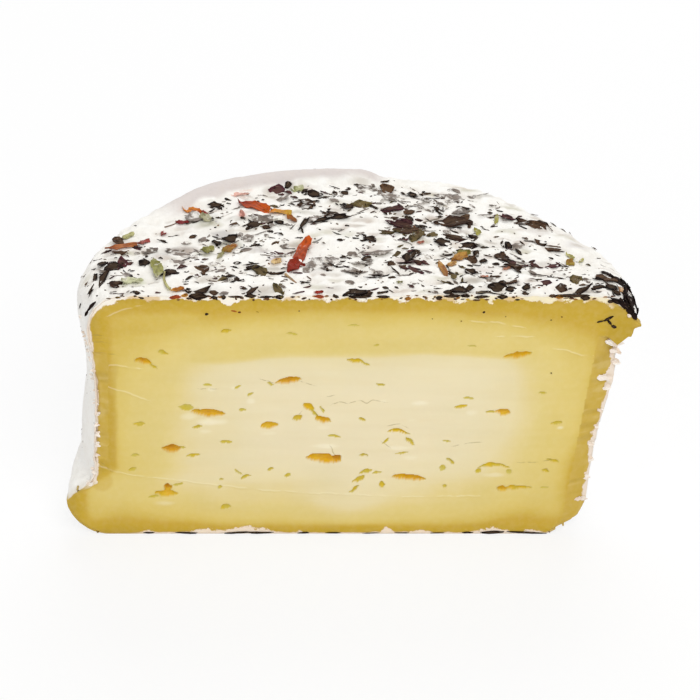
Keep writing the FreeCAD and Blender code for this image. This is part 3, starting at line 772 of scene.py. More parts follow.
# Leaves that stand out on the top: across, back, length, width, turn in degrees, and tone:
# k black, b brown, m maroon, o olive brown, g grey under a veil of mould.
main_leaves = [
    (-56.0, 10.9, 5.5, 1.6, 70, "k"), (-53.2, 9.0, 4.2, 3.0, 30, "k"), (-51.6, 11.5, 4.5, 2.0, 100, "m"),
    (-57.0, 5.4, 2.8, 1.4, 100, "k"), (-55.0, 3.9, 6.0, 1.4, 75, "k"), (-52.0, 0.4, 3.0, 2.2, 40, "b"),
    (-47.2, -3.6, 1.5, 1.2, 0, "k"), (-46.5, 11.3, 4.6, 1.9, 60, "k"), (-45.3, 16.7, 2.8, 2.0, 30, "g"),
    (-53.0, 22.8, 4.5, 2.6, 60, "b"), (-49.0, 19.0, 3.2, 1.0, -50, "m"),
    (-52.5, 16.2, 3.5, 1.2, -25, "b"), (-40.2, 5.8, 3.4, 2.6, 20, "k"), (-39.0, 12.0, 3.0, 2.0, -30, "g"),
    (-38.8, 15.9, 6.0, 2.6, -35, "g"), (-36.5, 34.0, 4.0, 3.4, 20, "g"), (-32.0, 40.3, 3.0, 1.4, 10, "k"),
    (-31.0, 38.4, 2.4, 1.0, -70, "k"), (-22.4, 29.8, 3.6, 2.8, 20, "k"), (-27.2, 22.8, 3.8, 3.0, 0, "k"),
    (-23.8, 23.2, 2.8, 2.6, 0, "g"), (-30.8, 20.8, 2.8, 1.6, -50, "k"), (-34.0, 23.0, 3.0, 2.0, 60, "g"),
    (-22.8, 19.9, 3.6, 0.8, -5, "k"), (-24.0, 17.7, 3.0, 1.0, 20, "g"), (-33.2, 7.7, 4.0, 2.4, -40, "b"),
    (-22.0, 8.1, 3.0, 1.8, -20, "k"), (-26.8, 4.3, 2.4, 1.8, 20, "k"), (-25.2, 2.5, 2.0, 1.4, -50, "k"),
    (-28.0, 1.6, 1.8, 1.0, 60, "g"), (-31.2, 10.7, 1.6, 1.0, 0, "g"), (-28.9, 7.4, 1.8, 0.9, -20, "g"),
    (-33.0, -2.6, 4.4, 3.0, 0, "k"), (-21.8, -3.4, 3.2, 1.8, 0, "k"), (-30.2, -3.4, 1.8, 1.4, 0, "b"),
    (-20.0, 32.0, 3.8, 2.8, -40, "g"), (-19.2, 31.2, 2.6, 1.8, -50, "k"),
    (-16.6, 30.0, 2.4, 1.4, -20, "k"), (-19.5, 28.4, 1.8, 1.4, 0, "b"), (-18.5, 39.8, 3.0, 1.4, -20, "o"),
    (-17.6, 49.3, 3.8, 2.8, -10, "m"), (-15.1, 51.2, 2.4, 1.2, 60, "k"), (-16.0, 44.2, 3.6, 2.8, 80, "g"),
    (-11.0, 48.9, 2.4, 0.9, 60, "k"), (-8.9, 46.8, 4.2, 1.8, -50, "k"), (-10.4, 42.4, 5.6, 2.8, -50, "b"),
    (-11.8, 40.8, 2.0, 1.6, 0, "b"), (-4.2, 37.0, 3.0, 2.8, 80, "k"), (-3.8, 48.2, 1.8, 0.8, -55, "k"),
    (-1.4, 47.8, 2.0, 1.2, -35, "k"), (-4.0, 43.6, 2.0, 1.0, 0, "g"), (-6.6, 32.5, 4.0, 1.3, 20, "k"),
    (-2.6, 33.5, 4.8, 1.6, 5, "k"), (-10.9, 30.2, 6.0, 0.9, 70, "k"), (-9.2, 33.0, 3.0, 2.0, 50, "g"),
    (4.4, 22.8, 3.0, 2.0, -25, "k"), (2.2, 25.8, 1.6, 0.9, 0, "g"), (-15.2, 20.3, 2.2, 1.8, 80, "g"),
    (-15.8, 16.3, 3.2, 0.9, -25, "m"), (-16.2, 14.8, 2.5, 2.0, 0, "g"), (-20.4, 7.0, 4.2, 2.6, -50, "o"),
    (-17.2, 6.8, 4.0, 1.0, 0, "k"), (-7.4, 9.6, 4.6, 4.2, 10, "g"), (-5.0, 10.2, 3.4, 1.8, 40, "k"),
    (-4.0, 13.3, 2.5, 2.0, 0, "g"), (0.2, 16.5, 2.2, 1.8, 0, "g"), (2.0, 12.0, 4.2, 3.2, -10, "g"),
    (3.6, 13.8, 2.5, 1.6, -30, "k"), (0.4, 7.0, 3.6, 2.8, 0, "g"), (1.9, 7.1, 2.2, 1.4, 80, "k"),
    (7.2, 6.9, 6.0, 1.5, 55, "g"), (5.8, 4.3, 2.4, 1.6, 50, "k"), (6.2, 16.6, 6.5, 1.6, -8, "g"),
    (10.6, 16.8, 4.8, 1.2, 65, "o"), (13.5, 14.6, 3.6, 2.8, 60, "k"), (14.9, 17.8, 2.6, 1.4, -10, "k"),
    (12.6, 11.5, 4.8, 2.8, -35, "m"), (14.6, 7.1, 4.6, 1.8, -50, "m"), (16.6, 11.5, 1.6, 1.4, 0, "m"),
    (9.2, 10.9, 2.0, 1.6, 80, "b"), (3.2, 51.6, 4.2, 2.8, -20, "g"), (8.6, 50.5, 4.0, 2.6, 80, "b"),
    (8.2, 54.2, 2.0, 0.8, 20, "k"), (9.4, 46.6, 4.0, 3.2, 0, "g"), (9.6, 43.8, 3.0, 2.6, 0, "g"),
    (2.4, 40.6, 4.2, 3.4, 10, "o"), (-0.6, 39.6, 3.0, 1.8, -30, "k"), (-1.8, 41.2, 2.2, 0.9, -55, "k"),
    (5.4, 39.6, 3.0, 1.2, -55, "k"), (9.6, 38.6, 5.6, 3.2, -8, "m"), (13.6, 37.4, 2.8, 2.6, 60, "b"),
    (17.6, 39.4, 4.4, 1.6, -55, "g"), (15.0, 41.0, 3.6, 1.6, -10, "g"), (14.6, 48.0, 3.2, 2.0, 20, "k"),
    (18.4, 50.2, 1.8, 1.2, 0, "k"), (22.0, 48.5, 3.0, 2.8, 0, "g"), (21.6, 43.0, 2.6, 2.4, 0, "g"),
    (17.8, 44.0, 3.2, 1.6, -60, "g"), (20.6, 37.4, 4.0, 0.6, -70, "k"), (12.4, 30.6, 6.0, 2.6, 0, "m"),
    (12.8, 27.6, 5.6, 3.2, 0, "b"), (8.2, 26.8, 4.4, 2.6, -10, "o"), (10.0, 34.4, 2.6, 1.6, -40, "b"),
    (13.7, 33.2, 3.0, 1.8, 80, "k"), (16.2, 29.8, 2.6, 1.8, -40, "k"), (15.6, 24.8, 4.4, 2.6, 80, "o"),
    (18.8, 25.8, 2.6, 1.8, 10, "o"), (21.2, 22.0, 3.4, 2.6, 10, "k"), (23.8, 24.6, 4.8, 2.2, -15, "b"),
    (22.2, 16.6, 2.0, 1.8, 0, "k"), (1.0, -3.0, 4.8, 2.6, 0, "k"), (3.8, -3.4, 2.0, 1.8, 0, "b"),
    (7.0, -3.0, 2.4, 1.5, 0, "k"), (-16.0, -2.6, 5.2, 1.5, -65, "o"), (-10.2, 1.6, 2.0, 1.2, 0, "k"),
    (24.2, 32.6, 7.6, 4.8, 18, "b"), (27.6, 33.0, 3.4, 1.6, 80, "b"), (26.0, 39.0, 3.4, 3.0, 0, "g"),
    (27.2, 41.2, 3.2, 1.2, -55, "k"), (24.4, 46.6, 3.6, 3.0, 30, "g"), (25.3, 50.8, 2.4, 1.2, 0, "g"),
    (28.7, 45.6, 1.2, 1.0, 0, "g"), (29.0, 48.8, 2.0, 1.6, 0, "g"), (33.5, 43.8, 1.2, 1.0, 0, "g"),
    (34.8, 42.0, 0.9, 0.8, 0, "g"), (37.0, 36.9, 4.4, 2.2, 25, "m"), (41.5, 35.6, 5.0, 2.2, -15, "b"),
    (43.5, 33.6, 5.6, 1.8, -25, "b"), (45.2, 35.8, 3.0, 2.2, -35, "k"), (46.2, 23.0, 5.2, 2.2, -30, "b"),
    (44.2, 24.8, 2.0, 1.4, 0, "k"), (36.0, 22.4, 3.6, 1.6, 80, "k"), (38.0, 22.8, 3.0, 2.4, 0, "g"),
    (38.4, 19.8, 2.4, 1.0, -60, "k"), (26.8, 20.8, 4.2, 2.4, 0, "k"), (30.4, 20.7, 2.2, 1.0, 5, "k"),
    (28.6, 25.4, 2.6, 1.4, -20, "k"), (27.4, 14.0, 3.0, 2.0, 70, "b"), (28.6, 17.4, 2.4, 1.2, 80, "k"),
    (34.2, 15.8, 3.8, 2.6, -60, "b"), (36.2, 13.8, 3.0, 1.4, -45, "k"), (38.6, 12.2, 3.6, 2.8, -20, "m"),
    (42.0, 12.4, 4.2, 2.8, 70, "m"), (45.6, 12.6, 3.0, 2.4, 0, "m"), (47.6, 12.8, 1.4, 1.2, 0, "k"),
    (36.6, 10.0, 4.6, 2.4, -40, "b"), (30.2, 13.2, 1.8, 1.6, 0, "k"), (26.8, 7.2, 2.8, 1.6, -40, "k"),
    (22.6, 7.2, 3.4, 0.9, -40, "k"), (22.8, 4.4, 4.4, 1.2, -75, "o"), (32.6, 5.6, 1.8, 1.6, 0, "b"),
    (36.0, 1.6, 2.6, 1.8, -20, "b"), (32.6, -1.6, 4.6, 3.2, 0, "k"), (38.8, -0.9, 1.8, 1.8, 0, "k"),
    (38.4, -3.6, 1.4, 1.0, 0, "k"), (43.2, 1.0, 2.6, 1.4, 0, "m"), (44.3, 4.6, 1.8, 0.8, 90, "k"),
    (50.2, 3.0, 3.4, 2.2, 70, "o"), (46.4, -1.2, 2.8, 2.2, 0, "b"), (50.6, -3.0, 6.0, 1.8, 6, "k"),
    (54.8, -0.6, 3.6, 1.4, 25, "k"), (57.3, 5.5, 5.0, 3.8, 60, "b"), (57.8, 1.0, 3.0, 2.6, 0, "k"),
    (24.0, -2.7, 4.2, 2.6, 0, "k"), (21.4, -3.4, 2.0, 1.4, 0, "k"), (28.8, -3.4, 3.6, 1.2, 0, "k"),
    (33.6, 1.8, 2.0, 1.4, 30, "b"), (31.0, 2.6, 2.6, 1.6, -20, "g"),
]
petals_laid = [
    (-22.8, 38.7, 9.2, 3.0, -32, "#8A180A", "#D2600F"),
    (-17.2, 35.8, 7.8, 1.9, -28, "#DC7A18", "#CFA83C"),
    (-13.9, 32.8, 3.4, 1.4, -45, "#B06A24", "#6E4420"),
    (-11.3, 15.8, 14.5, 2.7, 76, "#86200C", "#C9560F"), (-12.9, 9.4, 5.8, 2.6, 72, "#7A1A0C", "#A02C12"),
    (-11.6, 10.0, 2.6, 1.6, 0, "#A02812", "#8A1E10"), (-37.4, 37.8, 5.4, 2.2, -30, "#D9902A", "#C9601A"),
    (-34.8, 36.4, 2.8, 1.8, -40, "#7A1F1A", "#8E2A1E"), (-43.4, 27.0, 3.8, 1.2, 85, "#7A2020", "#8E2E28"),
    (-39.3, 31.9, 3.2, 1.6, 12, "#6E1A20", "#862428"), (-52.5, 19.0, 7.6, 1.7, 20, "#9A5222", "#B87440"),
    (-47.5, 21.8, 3.0, 1.6, 20, "#B56A60", "#A04A44"), (-25.4, 34.8, 3.2, 1.1, 95, "#D9988A", "#E0A898"),
    (-26.5, 45.2, 5.0, 1.4, -10, "#E8B0A0", "#F0CABC"), (24.6, 14.6, 4.8, 2.2, 45, "#9A6A2A", "#C29448"),
    (22.6, 11.2, 3.2, 1.4, 40, "#B88E4C", "#CCA868"), (20.6, 7.6, 6.6, 1.4, -76, "#BE8E40", "#80522A"),
    (29.8, 5.0, 1.8, 1.1, 0, "#D8A48E", "#CC8A70"), (49.8, 14.8, 3.4, 1.9, 70, "#86722A", "#B89C40"),
    (-38.2, -2.6, 3.2, 1.6, 30, "#C98A24", "#A86418"), (-7.1, -3.6, 2.2, 0.9, 10, "#A02C16", "#7A1E12"),
    (59.8, 1.0, 3.0, 1.2, 80, "#C08A4A", "#E6D0B0"), (-27.7, 18.2, 4.8, 2.0, 50, "#7A6A24", "#B0742A"),
    (-16.7, 11.9, 3.0, 2.2, 70, "#E6CC98", "#DDBB78"), (16.0, 21.2, 1.8, 1.0, 10, "#C98A70", "#B06A58"),
    (35.0, 8.6, 2.2, 0.9, 30, "#B88468", "#A87458"),
]
green_laid = [
    (-43.4, 7.4, 9.6, 2.4, 100, "#A6A464", "#84823E"), (-48.5, 1.2, 5.2, 2.2, -10, "#D6D6B4", "#C2C49A"),
    (-12.8, 49.9, 3.2, 2.4, 0, "#A8AC78", "#C8C898"), (34.2, 35.2, 4.0, 0.9, 80, "#9A9240", "#B8B060"),
    (29.4, 27.6, 4.0, 1.4, 100, "#A8A048", "#8E8838"), (25.4, 17.6, 4.2, 1.9, -10, "#9A8E3A", "#7E7428"),
    (50.2, 19.0, 4.2, 1.2, -70, "#C0B870", "#A8A050"), (-51.4, 25.2, 3.5, 1.6, 30, "#A8A468", "#C8C490"),
    (-32.6, 17.4, 3.2, 2.2, 20, "#807C40", "#A09A5A"), (-34.0, 33.0, 3.4, 2.4, -60, "#A6A284", "#BCB898"),
    (10.8, 1.4, 1.4, 1.0, 0, "#8E8A5A", "#6E6A40"), (52.6, 17.0, 3.0, 0.8, 65, "#C8C07A", "#B0A858"),
    (-29.6, 14.4, 3.6, 1.0, 70, "#B8B088", "#A09A70"),
]
stems_laid = [
    (-41.3, 1.0, 7.5, 0.7, 102, "#C2BE84", "#A8A062"), (-2.8, 26.0, 6.6, 0.35, -45, "#5A5852", "#4A4A44"),
    (-2.2, 28.2, 1.8, 0.3, 30, "#77736C", "#66625C"), (-7.4, 23.0, 2.6, 0.4, 42, "#9A9690", "#8A8680"),
    (-13.4, 3.2, 5.0, 0.6, -60, "#B89A70", "#8E6A48"), (-41.8, 30.8, 3.4, 0.35, 35, "#7E6A60", "#8A7468"),
    (12.8, 21.8, 4.4, 0.35, -48, "#7A7870", "#96928A"),
    (-12.7, 17.6, 2.8, 0.35, 50, "#6A5A54", "#7A6A60"), (18.8, 33.4, 4.2, 0.4, 20, "#A8A49C", "#8E8A82"),
    (57.9, -0.8, 3.6, 0.35, 88, "#1E1614", "#2A201C"), (-15.4, 35.9, 3.6, 0.3, -30, "#8A8478", "#9A9488"),
    (30.6, -4.0, 6.4, 0.35, -2, "#3A302C", "#4A4038"),
]
leaf_tones = {
    "k": ("#140D0B", "#1E130F", "#190F0D", "#281A14"), "b": ("#3E2A20", "#513A2B", "#37251C", "#5C432F"),
    "m": ("#43222A", "#562C32", "#3A1E24", "#52303A"), "o": ("#5A4E2E", "#6C5E3C", "#4E4428", "#786A42"),
    "g": ("#8A8078", "#9A9088", "#766D66", "#A59C96"),
}

laying = random.Random(5)
dark, veiled, green, petal, stem, specks = (Heap() for _ in range(6))
taken = []


def heap_for(tone):
    """Grey leaves lie in a heap of their own, because mould veils them."""
    return veiled if tone == "g" else dark


def two_of(tones):
    """The tones of a leaf's two ends."""
    return laying.choice(tones), laying.choice(tones)


def free(x, y, size):
    return all((x - a) ** 2 + (y - b) ** 2 > (0.42 * (size + other)) ** 2 for a, b, other in taken)


for x, y, length, width, turn, tone in main_leaves:
    hit, normal = on_top(x, y)
    heap = heap_for(tone)
    heap.lay(laying.choice(plates), hit, normal, (length * 1.22, width * 1.35, 0.8 + 0.45 * length), turn,
             laying.uniform(0.04, 0.16), two_of(leaf_tones[tone]),
             (laying.uniform(-8, 8), laying.uniform(-6, 6)))
    taken.append((x, y, 0.5 * (length + width)))
    # torn-off bits lie over and beside it
    for _ in range(0 if math.hypot(x, y) > 57.0 else 1 if length < 3.4 else 2):
        far = laying.uniform(0.35, 0.75) * length
        way = math.radians(turn + laying.choice((0, 180)) + laying.uniform(-50, 50))
        hit, normal = on_top(x + far * math.cos(way), max(y + far * math.sin(way), CUT + 0.5))
        if hit and normal.z > 0.2:
            bit = laying.uniform(0.28, 0.62)
            heap.lay(laying.choice(plates), hit, normal,
                     (length * bit, width * bit * laying.uniform(0.6, 1.2), 1.2),
                     turn + laying.uniform(-35, 35), laying.uniform(0.06, 0.3),
                     two_of(leaf_tones[tone]),
                     (laying.uniform(-16, 16), laying.uniform(-16, 16)))
for heap, rows, shapes in ((petal, petals_laid, ribbons), (green, green_laid, ribbons)):
    for x, y, length, width, turn, first_tone, last_tone in rows:
        hit, normal = on_top(x, y)
        heap.lay(laying.choice(shapes), hit, Vector((0, 0, 1)).lerp(normal, 0.6).normalized(),
                 (length, width * 1.1, width * 1.1), turn, 0.22, (first_tone, last_tone))
        taken.append((x, y, 0.5 * (length + width)))
for x, y, length, width, turn, first_tone, last_tone in stems_laid:
    hit, normal = on_top(x, y)
    stem.lay(laying.choice(twigs), hit, Vector((0, 0, 1)).lerp(normal, 0.5).normalized(),
             (length, width, width),
             turn, 0.15, (first_tone, last_tone))

# Small bits and thin shreds lie mostly between and beside the large leaves.
def loose_place():
    """A spot on the top, or nothing where it is bare."""
    if laying.random() < 0.62:
        home = laying.choice(main_leaves)
        x, y = laying.gauss(home[0], 2.6), laying.gauss(home[1], 2.6)
    else:
        x, y = laying.uniform(-WHEEL, WHEEL), laying.uniform(CUT, WHEEL)
    reach = math.hypot(x, y)
    turned = math.degrees(math.atan2(y, x))
    behind_curb = y > 0.0 and 82.0 < turned < 140.0 and reach > 53.0
    thin = 0.9 * float(blend(reach, 46.0, 60.0)) * float(blend(y, 8.0, 26.0))
    if y < CUT + 0.4 or reach > 64.0 or laying.random() < (0.93 if behind_curb else thin):
        return None
    hit, normal = on_top(x, y)
    if not hit or normal.z < 0.22:
        return None
    return x, y, hit, normal


for _ in range(LOOSE_LEAVES):
    spot = loose_place()
    if not spot:
        continue
    x, y, hit, normal = spot
    size = laying.choice((0.6, 0.7, 0.8, 1.0, 1.2, 1.5, 1.9)) * laying.uniform(0.85, 1.15)
    if not free(x, y, 0.6 * size):
        continue
    tone = laying.choice("kkkbmogggg")
    heap = heap_for(tone)
    heap.lay(laying.choice(plates), hit, normal,
             (size * 1.3, size * laying.uniform(0.4, 0.8), 0.8 + 0.5 * size),
             laying.uniform(-50, 50), laying.uniform(-0.04, 0.12),
             two_of(leaf_tones[tone]), (laying.uniform(-9, 9), laying.uniform(-9, 9)))
    taken.append((x, y, size))
for _ in range(SHREDS):
    spot = loose_place()
    if spot:
        tone = laying.choice("kkbmggg")
        heap = heap_for(tone)
        heap.lay(laying.choice(ribbons), spot[2], spot[3],
                 (laying.uniform(1.2, 4.2), laying.uniform(0.25, 0.6), 0.5),
                 laying.uniform(-55, 40), laying.uniform(0.0, 0.1),
                 two_of(leaf_tones[tone]))
for _ in range(TOP_SPECKS):
    spot = loose_place()
    if spot:
        size = laying.uniform(0.2, 0.55)
        shade = laying.choice(("#241A19", "#33251F", "#4A3A30", "#6E5A44",
                               "#6E665E", "#7E746C", "#5E5236", "#7E4E28"))
        specks.lay(laying.choice(crumbs), spot[2], spot[3],
                   (size * 1.6, size, size * 0.7), laying.uniform(-60, 60),
                   0.0, (shade, shade))
# sparse specks down the sides, and herbs on the underside
for _ in range(SIDE_SPECKS):
    angle = laying.uniform(-3.0, 183.0)
    z = laying.uniform(3.0, 57.0)
    hit, normal = on_side(angle, z)
    size = laying.uniform(0.15, 0.45)
    if hit and hit.y > (CUT + 0.6) * MM:
        shade = laying.choice(("#8A8279", "#A49C92", "#6E665C", "#B0A69A"))
        specks.lay(laying.choice(crumbs), hit, normal,
                   (size * 1.4, size, size * 0.6), laying.uniform(-60, 60),
                   -0.02, (shade, shade))
for _ in range(SIDE_LEAVES):
    angle = laying.uniform(0.0, 180.0)
    z = 58.5 - 14.0 * laying.random() ** 2.2
    hit, normal = on_side(angle, z)
    size = laying.uniform(0.8, 2.4)
    if hit and hit.y > (CUT + 1.0) * MM and angle < 160.0:
        tone = laying.choice("kbgg")
        heap = heap_for(tone)
        heap.lay(laying.choice(plates), hit, normal,
                 (size * 1.2, size * 0.7, 1.2), laying.uniform(-60, 60), 0.02,
                 two_of(leaf_tones[tone]))
made = 0
while made < FOOT_LEAVES:
    x = laying.uniform(-WHEEL, WHEEL)
    y = laying.uniform(CUT, WHEEL)
    hit, normal = underneath(x, y)
    if not hit or hit.z > 0.003 or y < CUT + 3.0:
        continue
    size = laying.choice((0.8, 1.2, 1.6, 2.2, 3.0, 4.2)) * laying.uniform(0.85, 1.15)
    tone = laying.choice("kkkbbmoggg")
    heap = heap_for(tone)
    heap.lay(laying.choice(flat_plates), hit, Vector((0, 0, -1)), (size * 1.2, size * 0.75, 1.6),
             laying.uniform(0, 360), 0.0, two_of(leaf_tones[tone]))
    made += 1

facing = Vector((0, -1, 0))

# Black, cracked crust over the right shoulder beside the cut.
crust = Heap()
for _ in range(84):
    back = -4.0 + 15.5 * laying.random() ** 1.4
    x = math.sqrt(WHEEL ** 2 - back ** 2)
    angle = math.degrees(math.atan2(back, x))
    lowest = 54.5 if back > 3.0 else 58.4
    hit, normal = on_side(angle, laying.uniform(lowest, 61.5))
    if not hit or hit.x < 0.04 or hit.y < (CUT + 0.1) * MM:
        continue
    size = laying.uniform(2.0, 4.6)
    crust.lay(laying.choice(plates), hit, normal,
              (size * 1.2, size * 0.7, 1.8), laying.uniform(50, 130), 0.08,
              (laying.choice(("#120C0C", "#1A1212", "#241816")), laying.choice(("#171010", "#33231D"))))

for across, up, length, high, turn in [(60.2, 61.8, 3.0, 1.5, -42), (61.7, 60.2, 2.8, 1.5, -55),
                                       (62.6, 58.9, 2.0, 1.2, -62), (58.4, 62.8, 2.4, 1.0, -28),
                                       (-57.2, 61.4, 3.4, 0.7, 52), (-58.4, 59.6, 1.8, 0.6, 60)]:
    crust.lay(laying.choice(plates), spot_at(across, CUT + 0.1, up), facing,
              (length * 1.2, high * 1.2, 1.4), turn, 0.1, ("#120C0C", "#241816"))

# Leaves cut through by the knife along the crust's edge: across, up, length, height, tone.
cut_through = [
    (-33.0, 63.6, 4.6, 1.5, "k"), (-30.0, 63.3, 1.6, 1.0, "k"), (-28.0, 63.5, 1.2, 1.2, "k"),
    (-25.4, 63.4, 3.2, 0.6, "b"), (-21.8, 63.8, 3.2, 1.0, "k"), (-19.0, 63.4, 3.8, 0.6, "k"),
    (-15.5, 63.4, 2.2, 1.1, "k"), (-3.4, 63.6, 1.1, 1.1, "k"), (1.8, 63.5, 4.2, 0.8, "k"),
    (7.2, 63.4, 3.8, 0.8, "k"), (19.6, 63.3, 1.6, 0.9, "k"), (22.4, 63.7, 4.2, 0.8, "k"),
    (25.0, 63.6, 2.2, 1.0, "k"), (29.0, 63.4, 3.8, 0.8, "k"), (33.4, 63.4, 2.4, 1.0, "k"),
    (44.2, 63.6, 1.6, 1.0, "b"), (48.6, 63.7, 8.6, 1.0, "k"), (51.6, 63.2, 2.2, 1.3, "k"),
    (57.2, 62.4, 1.4, 1.0, "k"), (-38.8, 63.4, 2.6, 0.9, "r"), (-7.2, 63.6, 2.2, 1.0, "r"),
    (12.4, 63.0, 1.4, 0.8, "a"), (46.0, 63.4, 1.6, 0.8, "a"), (-36.6, 63.9, 1.6, 0.8, "a"),
    (-47.0, 0.45, 2.6, 0.7, "k"), (-39.2, 0.45, 5.2, 0.8, "k"), (-27.5, 0.5, 6.6, 0.9, "k"),
    (-20.8, 0.45, 6.0, 0.8, "k"), (-11.0, 0.45, 2.6, 0.7, "k"), (-4.4, 0.45, 3.2, 0.6, "k"),
    (4.0, 0.4, 3.6, 0.4, "b"), (12.0, 0.4, 2.6, 0.4, "b"), (27.2, 0.5, 2.4, 0.8, "k"),
    (32.2, 0.6, 6.0, 1.1, "k"), (42.6, 0.5, 7.8, 0.9, "k"), (20.0, 0.4, 3.0, 0.4, "b"),
]
cut_tones = dict(leaf_tones, r=("#A8401C", "#8E2E14"), a=("#C98A34", "#A86A20"))
cut_flakes = Heap()
for across, up, length, high, tone in cut_through:
    if up < 30.0:
        length, high = length * 1.25, high * 0.62
    for _ in range(2):
        place = spot_at(across + laying.uniform(-0.2, 0.2) * length, CUT,
                        up + (0.4 if up > 30.0 else 0.0) + laying.uniform(-0.15, 0.15) * high)
        cut_flakes.lay(laying.choice(flat_plates), place, facing,
                       (length * laying.uniform(0.75, 1.0), high * laying.uniform(0.8, 1.15), 1.2),
                       laying.uniform(-4, 4), 0.12, two_of(cut_tones[tone]))
for _ in range(90):
    across = laying.uniform(-54.0, 58.0)
    length = laying.uniform(0.4, 1.5)
    shade = laying.choice(("#3A2A22", "#6E4A2A", "#8A6A3A", "#A8743A", "#5A3A28", "#2A201C"))
    cut_flakes.lay(laying.choice(flat_plates), spot_at(across, CUT, laying.uniform(63.0, 64.2)),
                   facing, (length, laying.uniform(0.25, 0.6), 0.8), laying.uniform(-20, 20), 0.08,
                   (shade, shade))

# Crumbs that the knife dragged onto the paste: across, up, length, height, turn, tone.
dragged_crumbs = [
    (-31.8, 59.4, 0.9, 0.8, 0, "#1E1412"), (-25.8, 60.2, 1.6, 0.5, -15, "#B5621E"),
    (-24.6, 59.9, 0.9, 0.5, 0, "#6E2E14"), (-20.6, 60.0, 0.9, 0.3, -20, "#B89A3A"),
    (29.4, 59.9, 0.7, 0.6, 20, "#2A1A14"), (46.6, 58.7, 0.5, 0.4, 0, "#5A3A20"),
    (44.3, 57.9, 0.5, 0.4, 0, "#8A7A34"), (55.2, 57.5, 2.2, 0.5, 14, "#1E1412"),
    (57.0, 58.3, 3.0, 0.8, 30, "#1E1412"), (57.2, 57.3, 2.2, 0.7, -55, "#1E1412"),
    (58.2, 56.2, 1.5, 0.9, -20, "#231614"), (24.4, 57.6, 0.4, 0.3, 0, "#8A6A30"),
    (18.0, 58.2, 0.35, 0.3, 0, "#8A7A44"), (44.9, 44.1, 0.45, 0.45, 0, "#6E6224"),
    (-11.4, 60.2, 0.4, 0.3, 0, "#6E4A28"), (34.2, 58.8, 0.35, 0.3, 0, "#7A6A34"),
]
paste_crumbs = Heap()
for across, up, length, high, turn, shade in dragged_crumbs:
    paste_crumbs.lay(laying.choice(crumbs), spot_at(across, CUT, up), facing,
                     (length, high, 0.3), turn, 0.06, (shade, shade))

# Torn bits of white rind down the right edge of the cut: across, up, length, height, turn.
torn_bits = [
    (58.4, 51.6, 5.4, 2.6, -36), (59.0, 49.2, 3.4, 2.0, -30), (56.6, 42.2, 4.4, 2.2, -40),
    (57.9, 39.6, 2.0, 2.8, 78), (54.9, 24.7, 3.0, 1.3, -4), (54.8, 20.4, 1.4, 2.0, 80),
    (53.2, 8.9, 3.4, 1.6, -6), (56.7, 33.0, 1.2, 2.2, 75), (59.4, 46.0, 1.2, 2.6, 78),
    (55.9, 29.0, 1.1, 2.0, 82), (54.3, 15.0, 1.0, 2.0, 85), (61.4, 59.2, 2.0, 0.9, -38),
    (-60.0, 56.2, 0.9, 1.8, 70), (-59.4, 52.4, 1.0, 2.0, 80), (-58.9, 48.4, 0.9, 1.6, 75),
    (-57.9, 44.0, 1.0, 2.2, 80), (-57.6, 39.2, 0.9, 2.2, 90), (-57.6, 33.0, 0.9, 2.0, 95),
    (-57.7, 27.4, 0.9, 2.4, 90), (-58.2, 22.0, 1.0, 2.2, 85), (-59.0, 17.6, 1.4, 1.8, 60),
    (-60.2, 14.4, 2.0, 1.2, 20), (-58.6, 46.2, 0.8, 1.6, 70), (-57.7, 30.2, 0.8, 1.6, 90),
    (-57.6, 36.0, 0.8, 1.8, 85), (-57.8, 24.6, 0.9, 1.8, 88), (-58.2, 41.6, 0.8, 1.8, 80),
    (-59.0, 50.4, 0.8, 1.6, 78),
]
tufts = Heap()
for across, up, length, high, turn in torn_bits:
    for _ in range(3):
        start = spot_at(across + laying.uniform(-0.25, 0.25) * length, -30.0,
                        up + laying.uniform(-0.25, 0.25) * high)
        found, normal, _, _ = any_face.ray_cast(start, Vector((0, 1, 0)))
        if not found or found.y > 0.008:
            found = any_face.find_nearest(start + Vector((0, 0.027, 0)))[0]
        shade = laying.choice(("#F1E6DA", "#EEDFD0", "#F6EFE6", "#E6D4C2"))
        tufts.lay(laying.choice(plates), found, facing, (length * laying.uniform(0.5, 0.9),
                  high * laying.uniform(0.5, 0.9), 1.6), turn + laying.uniform(-25, 25), 0.15, (shade, shade),
                  (laying.uniform(-14, 14), laying.uniform(-14, 14)))

# Colour of the rind: white mould with painted shade that greys its hollows, and leaves that show dimly
# through it.
spots = places(rind.data)
count = len(spots)


def for_all(values):
    """Values of the outer skin, and nothing for the part that is turned in."""
    return np.concatenate([values, np.zeros(count - outer_count)])


relief, on_curb, sideways = for_all(outer_relief), for_all(outer_curb), for_all(outer_side)
upward = for_all(outer_up)
mould_and_hollow_shade_stops = [(-0.6, "#F0EBE3"), (-0.25, "#F9F6EF"), (0.1, "#FEFCF6"), (0.6, "#FFFEFB")]
# painted shade: the lower the relief, the greyer the white
tint = ramp(relief + 0.15 * lumps(spots, 3.0, 31), mould_and_hollow_shade_stops)
# painted shade: the sides get a slightly greyer, more neutral white than the top
tint = mixed(tint, "#F1EFEB", 0.7 * sideways)
# painted shade: the bare curb at the back is greyed with a lilac tint, less so along its outer edge
tint = mixed(tint, "#DCD3CF", 0.95 * on_curb * (1.0 - 0.8 * blend(sideways, 0.5, 0.95)))
reach = np.hypot(spots[:, 0], spots[:, 1]) + 0.3 * lumps(spots, 1.5, 35)
tint = mixed(tint, "#FAF8F6", 0.8 * on_curb * blend(reach, 62.6, 64.0))
cut_shade, corner = crust_shade(spots, upward)
near_cut = np.exp(-np.maximum(spots[:, 1] - CUT, 0.0) / 0.4)
near_cut = np.maximum(near_cut, corner * (1.0 - blend(spots[:, 1] - CUT, 0.5, 2.5)))
tint = mixed(tint, cut_shade, near_cut * (1.0 - 0.75 * blend(upward, 0.2, 0.7)))
tint[outer_count:] = cut_shade[outer_count:]
staining = random.Random(23)
